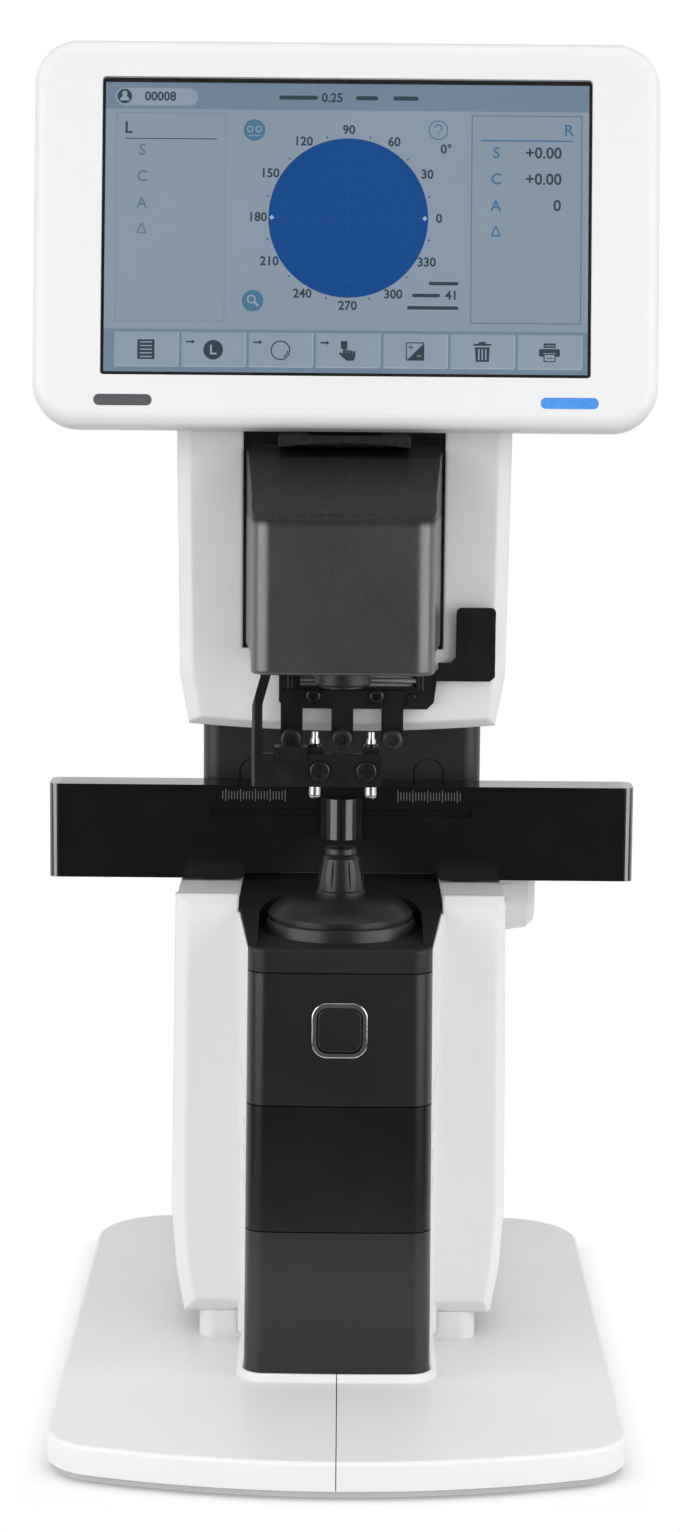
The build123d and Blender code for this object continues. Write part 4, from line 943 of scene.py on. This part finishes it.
def add_word(bm, text, x, z, size, slot):
    """Thin raised letters centred on a point of the picture, in its printed layer."""
    curve = bpy.data.curves.new("word", "FONT")
    curve.body = text
    curve.size = size * MM * FONT_SIZE
    curve.align_x = "CENTER"
    curve.align_y = "CENTER"
    curve.offset = LETTER_BOLD
    curve.extrude = LAYER_T * MM / 2
    curve.resolution_u = 3
    mesh = plain_mesh(new_object("word", curve))
    depth = sum(layer_depths(MARK)) / 2
    upright = Matrix.Rotation(math.radians(90), 4, "X")
    mesh.transform(Matrix.Translation((x * MM, depth, (z + SCREEN_UP) * MM)) @ upright)
    first = len(bm.faces)
    bm.from_mesh(mesh)
    bm.faces.ensure_lookup_table()
    for face in bm.faces[first:]:
        face.material_index = slot
    bpy.data.meshes.remove(mesh)


class LENSMETER_OT_screen_icons(bpy.types.Operator):
    """Draw the round icons and the pictures on the button tiles"""

    bl_idname = "lensmeter.screen_icons"
    bl_label = "Screen icons"

    def execute(self, context):
        settings = context.scene.lensmeter_screen
        share = settings.brightness
        picture = Picture()
        self.top_bar(picture)
        self.round_icons(picture)
        self.tiles(picture)
        picture.finish("screen_icons", [
            lit("icon_ink", tuple(settings.ink), share),
            lit("icon_blue", (0.075, 0.205, 0.33), share),
            lit("icon_light", tuple(c * 1.12 for c in settings.ground), share),
            lit("icon_pale", (0.16, 0.215, 0.285), share),
            lit("icon_deep_blue", DEEP_BLUE, share),
        ])
        return {"FINISHED"}

    def top_bar(self, picture):
        """User mark and the two underlines of the panels."""
        picture.disc(-70.3, 41.3, 2.3)
        picture.disc(-70.3, 42.1, 0.85, OVER, LIGHT, 24)
        picture.shape(round_points(-70.3, 39.9, 1.5, 16, 0, math.pi), OVER, LIGHT)
        for x0, x1 in ((-21.6, -9.4), (2.6, 9.6), (14.4, 22.4)):
            picture.pill(x0, x1, 40.6, 41.9, 0.6)
        picture.bar(-70.0, -41.1, 27.8, 28.1)
        picture.bar(42.1, 71.1, 27.9, 28.4, MARK, DEEP)
        left, top, right = (-1.4, -1.9), (0, 1.2), (1.4, -1.9)
        for x, slot in ((-64.6, PALE), (47.0, DEEP)):
            for a, b in ((left, top), (top, right), (right, left)):
                picture.line(x + a[0], a[1], x + b[0], b[1], 0.5, MARK, slot)
        for x0, x1, z in ((26.0, 35.4, -17.2), (20.8, 29.6, -21.0), (19.2, 35.4, -24.9)):
            picture.pill(x0, x1, z - 0.55, z + 0.55, 0.5)

    def round_icons(self, picture):
        """Spectacles, question ring and magnifier beside the target."""
        picture.disc(-29.3, 30.9, 3.4, MARK, BLUE)
        for side in (-1, 1):
            picture.ring(-29.3 + side * 1.35, 31.2, 1.05, 0.35, OVER, LIGHT, 20)
        for i in range(4):
            picture.bar(-31.0 + 0.95 * i, -30.4 + 0.95 * i, 28.9, 29.3, OVER, LIGHT)
        picture.ring(28.7, 31.3, 3.1, 0.35, MARK, BLUE)
        picture.ring(28.7, 32.0, 1.2, 0.42, MARK, BLUE, 16, math.radians(-60), math.radians(240))
        picture.bar(28.5, 28.9, 30.2, 31.0, MARK, BLUE)
        picture.bar(28.5, 28.9, 29.3, 29.7, MARK, BLUE)
        picture.disc(-29.4, -23.1, 3.4, MARK, BLUE)
        picture.ring(-29.8, -22.6, 1.4, 0.45, OVER, LIGHT, 24)
        picture.line(-28.8, -23.6, -27.6, -24.8, 0.7, OVER, LIGHT)

    def tiles(self, picture):
        middle = [TILE_FIRST + TILE_PITCH * i + TILE_W / 2 for i in range(TILES)]
        z = -38.7
        sheet, disc, ring, hand, sign, bin_x, printer = middle
        picture.bar(sheet - 2.7, sheet + 2.7, z - 3.1, z + 3.1)
        for i in range(5):
            rise = 1.15 * i
            picture.bar(sheet - 1.9, sheet + 1.9, z - 2.5 + rise, z - 2.15 + rise, OVER, LIGHT)
        picture.disc(disc, z, 3.1)
        picture.bar(disc - 1.0, disc - 0.4, z - 1.5, z + 1.6, OVER, LIGHT)
        picture.bar(disc - 1.0, disc + 1.1, z - 1.5, z - 0.9, OVER, LIGHT)
        picture.ring(ring, z, 3.1, 0.4)
        picture.ring(ring + 0.2, z - 0.1, 2.2, 0.35, MARK, INK, 12, math.radians(-70),
                     math.radians(70))
        picture.pill(hand - 2.2, hand - 0.1, z + 0.6, z + 3.1, 0.4)
        picture.pill(hand - 1.5, hand - 0.6, z - 1.6, z + 1.9, 0.4, OVER)
        for i in range(3):
            x0 = hand - 0.5 + 1.0 * i
            picture.pill(x0, x0 + 0.9, z - 1.4, z + 0.4 - 0.2 * i, 0.35, OVER)
        palm = [(-1.6, -0.8), (2.5, -0.8), (2.4, -2.2), (1.7, -3.1), (-0.4, -3.1), (-2.8, -0.9),
                (-2.2, -0.4)]
        picture.shape([(hand + a, z + b) for a, b in reversed(palm)])
        picture.frame(sign - 2.9, sign + 2.9, z - 2.9, z + 2.9, 0.35)
        picture.shape([(sign + 2.6, z - 2.6), (sign + 2.6, z + 2.4), (sign - 2.4, z - 2.6)])
        picture.bar(sign - 2.1, sign - 0.5, z + 1.2, z + 1.5)
        picture.bar(sign - 1.45, sign - 1.15, z + 0.55, z + 2.15, OVER)
        picture.bar(sign + 0.7, sign + 2.0, z - 1.6, z - 1.3, OVER, LIGHT)
        self.bin_icon(picture, bin_x, z)
        self.printer_icon(picture, printer, z)
        for x in middle[1:4]:
            picture.bar(x - 8.6, x - 6.6, z + 2.25, z + 2.75)
            picture.shape([(x - 6.8, z + 3.2), (x - 6.8, z + 1.8), (x - 5.7, z + 2.5)])

    def bin_icon(self, picture, x, z):
        picture.bar(x - 2.8, x + 2.8, z + 2.0, z + 2.6)
        picture.bar(x - 1.1, x + 1.1, z + 2.6, z + 3.2)
        picture.shape([(x - 2.3, z + 1.5), (x - 2.1, z - 3.1), (x + 2.1, z - 3.1),
                       (x + 2.3, z + 1.5)])
        for i in (-1, 0, 1):
            picture.bar(x + 1.1 * i - 0.22, x + 1.1 * i + 0.22, z - 2.5, z + 0.9, OVER, LIGHT)

    def printer_icon(self, picture, x, z):
        picture.bar(x - 1.9, x + 1.9, z + 1.5, z + 2.9)
        picture.bar(x - 1.5, x + 1.5, z + 2.0, z + 2.25, OVER, LIGHT)
        picture.pill(x - 3.3, x + 3.3, z - 1.3, z + 1.1, 0.5)
        picture.bar(x - 1.9, x + 1.9, z - 3.0, z - 0.2, OVER, LIGHT)
        picture.frame(x - 1.9, x + 1.9, z - 3.0, z - 0.4, 0.35, TOP)
        picture.bar(x - 1.1, x + 1.1, z - 1.9, z - 1.6, TOP)


class LENSMETER_OT_lamps(bpy.types.Operator):
    """Finish the dark status window and the lit power lamp under the screen"""

    bl_idname = "lensmeter.lamps"
    bl_label = "Status and power lamps"

    def execute(self, context):
        dress(glossy("smoked_window", (0.09, 0.093, 0.1), 0.18, 0.8, 0.3, 0.5), "status_window")
        dress(lit("lamp_blue", (0.1, 0.36, 0.92), 0.9, 0.5, 900.0, 0.2), "power_lamp")
        return {"FINISHED"}


class LENSMETER_OT_table_scale(bpy.types.Operator):
    """Print the two distance scales on the front of the reading table"""

    bl_idname = "lensmeter.table_scale"
    bl_label = "Table scales"

    def execute(self, context):
        settings = context.scene.lensmeter_scale
        low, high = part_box("table_bar")
        ink = plastic("scale_print", (0.11, 0.11, 0.11), (0.07, 0.07, 0.07), 0.0004, 0.5, 0.05)
        bm = bmesh.new()
        for side in (-1, 1):
            ticks = tick_row("table_ticks", settings, side, ink)
            ticks.transform(Matrix.Translation((0, low.y, high.z - SCALE_DROP)))
            bm.from_mesh(ticks)
            bpy.data.meshes.remove(ticks)
        piece = finished_mesh("table_scale", bm, [ink])
        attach(piece, "reading_table")
        return {"FINISHED"}


def tick_row(name, settings, side, material):
    """One scale: ticks outwards from the middle, every fifth one longer, by a node tree."""
    tree, entry = start_tree(name, settings.count, First=settings.first * side,
                             Pitch=settings.pitch * side, Tick=settings.tick, Width=settings.width)
    row = fill(tree, add_node(tree, "GeometryNodeMeshLine", mode="OFFSET"),
               Count=entry.outputs["Count"], Start_Location=combine(tree, entry.outputs["First"]),
               Offset=combine(tree, entry.outputs["Pitch"]))
    index = add_node(tree, "GeometryNodeInputIndex")
    fifth = calculate(tree, "MODULO", index.outputs["Index"], 5)
    long = calculate(tree, "COMPARE", fifth, 0, 0.1)
    spots = fill(tree, add_node(tree, "GeometryNodeInstanceOnPoints"), Points=row.outputs["Mesh"],
                 Instance=plate(tree, entry.outputs["Width"], TICK_T, entry.outputs["Tick"]),
                 Scale=combine(tree, 1, 1, spread(tree, long, 0, 1, 1.0, LONG_TICK)))
    return run_tree(name, tree, spots.outputs["Instances"], material)


def seen_ray(tree):
    """1 for what the camera sees, straight, in a mirror or through glass."""
    path = add_node(tree, "ShaderNodeLightPath")
    straight = calculate(tree, "MAXIMUM", path.outputs["Is Camera Ray"],
                         path.outputs["Is Glossy Ray"])
    return calculate(tree, "MAXIMUM", straight, path.outputs["Is Transmission Ray"])


class LENSMETER_OT_stage(bpy.types.Operator):
    """Set the floor, the lamps, the surrounding light and the camera"""

    bl_idname = "lensmeter.stage"
    bl_label = "Studio"

    def execute(self, context):
        settings = context.scene.lensmeter_stage
        self.floor(settings)
        self.surround(context, settings)
        side = settings.side_power
        self.lamp("left_lamp", (-1.16, -0.31, 0.55), (0.36, 1.1), side)
        self.lamp("right_lamp", (1.16, -0.31, 0.55), (0.36, 1.1), side * RIGHT_LAMP)
        self.lamp("left_strip", (-0.89, -0.8, 0.35), (0.92, 1.0), settings.strip_power)
        self.lamp("right_strip", (0.89, -0.8, 0.35), (0.92, 1.0), settings.strip_power)
        self.lamp("top_lamp", (0, -0.2, 1.7), (1.2, 1.0), settings.top_power)
        self.camera(context, settings)
        context.scene.view_settings.view_transform = "Standard"
        return {"FINISHED"}

    def floor(self, settings):
        bm = bmesh.new()
        bmesh.ops.create_circle(bm, cap_ends=True, radius=settings.floor_radius, segments=96)
        floor = finished_mesh("floor", bm, [self.floor_finish(settings)])
        floor.data.transform(Matrix.Translation((0, 0, -FLOOR_DROP)))

    def floor_finish(self, settings):
        """Pale floor with a light shadow near the base, plain white away from it."""
        material, tree, shader = start_material("floor_white")
        seen = seen_ray(tree)
        bright = as_rgba([c * FLOOR_SEEN for c in settings.floor])
        fill(tree, shader, Base_Color=mix_colour(tree, seen, as_rgba(settings.floor), bright),
             Roughness=0.9, Specular_IOR_Level=0.1)
        place = add_node(tree, "ShaderNodeTexCoord").outputs["Object"]
        low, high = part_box("base_pan")
        half = (high - low) / 2
        away = place
        for operation, values in (("ABSOLUTE", None), ("SUBTRACT", (half.x, half.y, 0)),
                                  ("MAXIMUM", (0, 0, 0)), ("LENGTH", None)):
            step = add_node(tree, "ShaderNodeVectorMath", operation=operation)
            wire(tree, away, step.inputs[0])
            if values:
                step.inputs[1].default_value = values
            away = step.outputs["Value" if operation == "LENGTH" else "Vector"]
        share = spread(tree, away, 0.0, settings.shadow_reach, SHADOW_LIFT, 1.0, "SMOOTHSTEP")
        glow = add_node(tree, "ShaderNodeEmission")
        blend = fill(tree, add_node(tree, "ShaderNodeMixShader"), Fac=multiply(tree, share, seen))
        out = tree.get_output_node("CYCLES")
        wire(tree, shader.outputs["BSDF"], blend.inputs[1])
        wire(tree, glow.outputs["Emission"], blend.inputs[2])
        wire(tree, blend.outputs["Shader"], out.inputs["Surface"])
        return material

    def surround(self, context, settings):
        """White for the eye; in reflections and through glass white behind the object and dim on
        the camera's side; as light on the object even, stronger from above and from the camera.
        """
        world = bpy.data.worlds.new("studio")
        world.use_nodes = True
        tree = world.node_tree
        ground = tree.nodes["Background"]
        ground.inputs["Color"].default_value = (1, 1, 1, 1)
        path = add_node(tree, "ShaderNodeLightPath")
        aim = add_node(tree, "ShaderNodeSeparateXYZ")
        wire(tree, add_node(tree, "ShaderNodeTexCoord").outputs["Generated"], aim.inputs[0])
        behind = spread(tree, aim.outputs["Y"], -0.1, 0.35, settings.camera_side, 1.0)
        mirrored = mix_value(tree, spread(tree, aim.outputs["Z"], 0.3, 0.6), behind,
                             MIRRORED_TOP)
        low = settings.ambient * FROM_BELOW
        around = spread(tree, aim.outputs["Z"], -0.3, 0.0, low, settings.ambient)
        around = mix_value(tree, spread(tree, aim.outputs["Z"], 0.2, 0.6), around, settings.sky)
        toward = spread(tree, aim.outputs["Y"], -0.8, -0.4, 1.0, 0.0)
        around = mix_value(tree, toward, around, settings.fill)
        bent = calculate(tree, "MAXIMUM", path.outputs["Is Glossy Ray"],
                         path.outputs["Is Transmission Ray"])
        strength = mix_value(tree, bent, around, mirrored)
        strength = mix_value(tree, path.outputs["Is Camera Ray"], strength, 1.0)
        wire(tree, strength, ground.inputs["Strength"])
        context.scene.world = world

    def lamp(self, name, place, size, power):
        light = bpy.data.lights.new(name, "AREA")
        light.shape = "RECTANGLE"
        light.size, light.size_y = size
        light.energy = power
        holder = new_object(name, light)
        holder.location = place
        holder.rotation_mode = "QUATERNION"
        holder.rotation_quaternion = (LAMP_AIM - Vector(place)).to_track_quat("-Z", "Y")

    def camera(self, context, settings):
        data = bpy.data.cameras.new("photo_camera")
        data.sensor_width = 36
        data.lens = FOCAL_PX / IMAGE_H * data.sensor_width
        data.clip_end = 50
        camera = new_object("photo_camera", data)
        camera.matrix_world = (
            Matrix.Translation(CAMERA_PLACE)
            @ Matrix.Rotation(math.radians(90) - settings.pitch, 4, "X")
            @ Matrix.Rotation(CAMERA_ROLL, 4, "Z"))
        context.scene.camera = camera


class LENSMETER_PT_panel(bpy.types.Panel):
    """The lensmeter's settings and the operators that make its pieces."""

    bl_label = "Lensmeter"
    bl_idname = "LENSMETER_PT_panel"
    bl_space_type = "VIEW_3D"
    bl_region_type = "UI"
    bl_category = "Lensmeter"

    def draw(self, context):
        scene = context.scene
        for group in (scene.lensmeter_housings, scene.lensmeter_blacks, scene.lensmeter_screen,
                      scene.lensmeter_scale, scene.lensmeter_stage):
            box = self.layout.box()
            for name in group.__annotations__:
                box.prop(group, name)
        for operator in OPERATORS:
            self.layout.operator(operator.bl_idname)


OPERATORS = (
    LENSMETER_OT_housings,
    LENSMETER_OT_black_parts,
    LENSMETER_OT_metalwork,
    LENSMETER_OT_inner_parts,
    LENSMETER_OT_screen_ground,
    LENSMETER_OT_screen_target,
    LENSMETER_OT_screen_numbers,
    LENSMETER_OT_screen_icons,
    LENSMETER_OT_lamps,
    LENSMETER_OT_table_scale,
    LENSMETER_OT_stage,
)

SETTINGS = (
    ("lensmeter_housings", HousingSettings),
    ("lensmeter_blacks", BlackSettings),
    ("lensmeter_screen", ScreenSettings),
    ("lensmeter_scale", ScaleSettings),
    ("lensmeter_stage", StageSettings),
)


def register():
    for name, group in SETTINGS:
        bpy.utils.register_class(group)
        setattr(bpy.types.Scene, name, bpy.props.PointerProperty(type=group))
    for operator in OPERATORS:
        bpy.utils.register_class(operator)
    bpy.utils.register_class(LENSMETER_PT_panel)


def unregister():
    bpy.utils.unregister_class(LENSMETER_PT_panel)
    for operator in reversed(OPERATORS):
        bpy.utils.unregister_class(operator)
    for name, group in reversed(SETTINGS):
        delattr(bpy.types.Scene, name)
        bpy.utils.unregister_class(group)


def main():
    register()
    bpy.ops.lensmeter.housings()
    bpy.ops.lensmeter.black_parts()
    bpy.ops.lensmeter.metalwork()
    bpy.ops.lensmeter.inner_parts()
    bpy.ops.lensmeter.screen_ground()
    bpy.ops.lensmeter.screen_target()
    bpy.ops.lensmeter.screen_numbers()
    bpy.ops.lensmeter.screen_icons()
    bpy.ops.lensmeter.lamps()
    bpy.ops.lensmeter.table_scale()
    bpy.ops.lensmeter.stage()


if __name__ == "__main__":
    main()
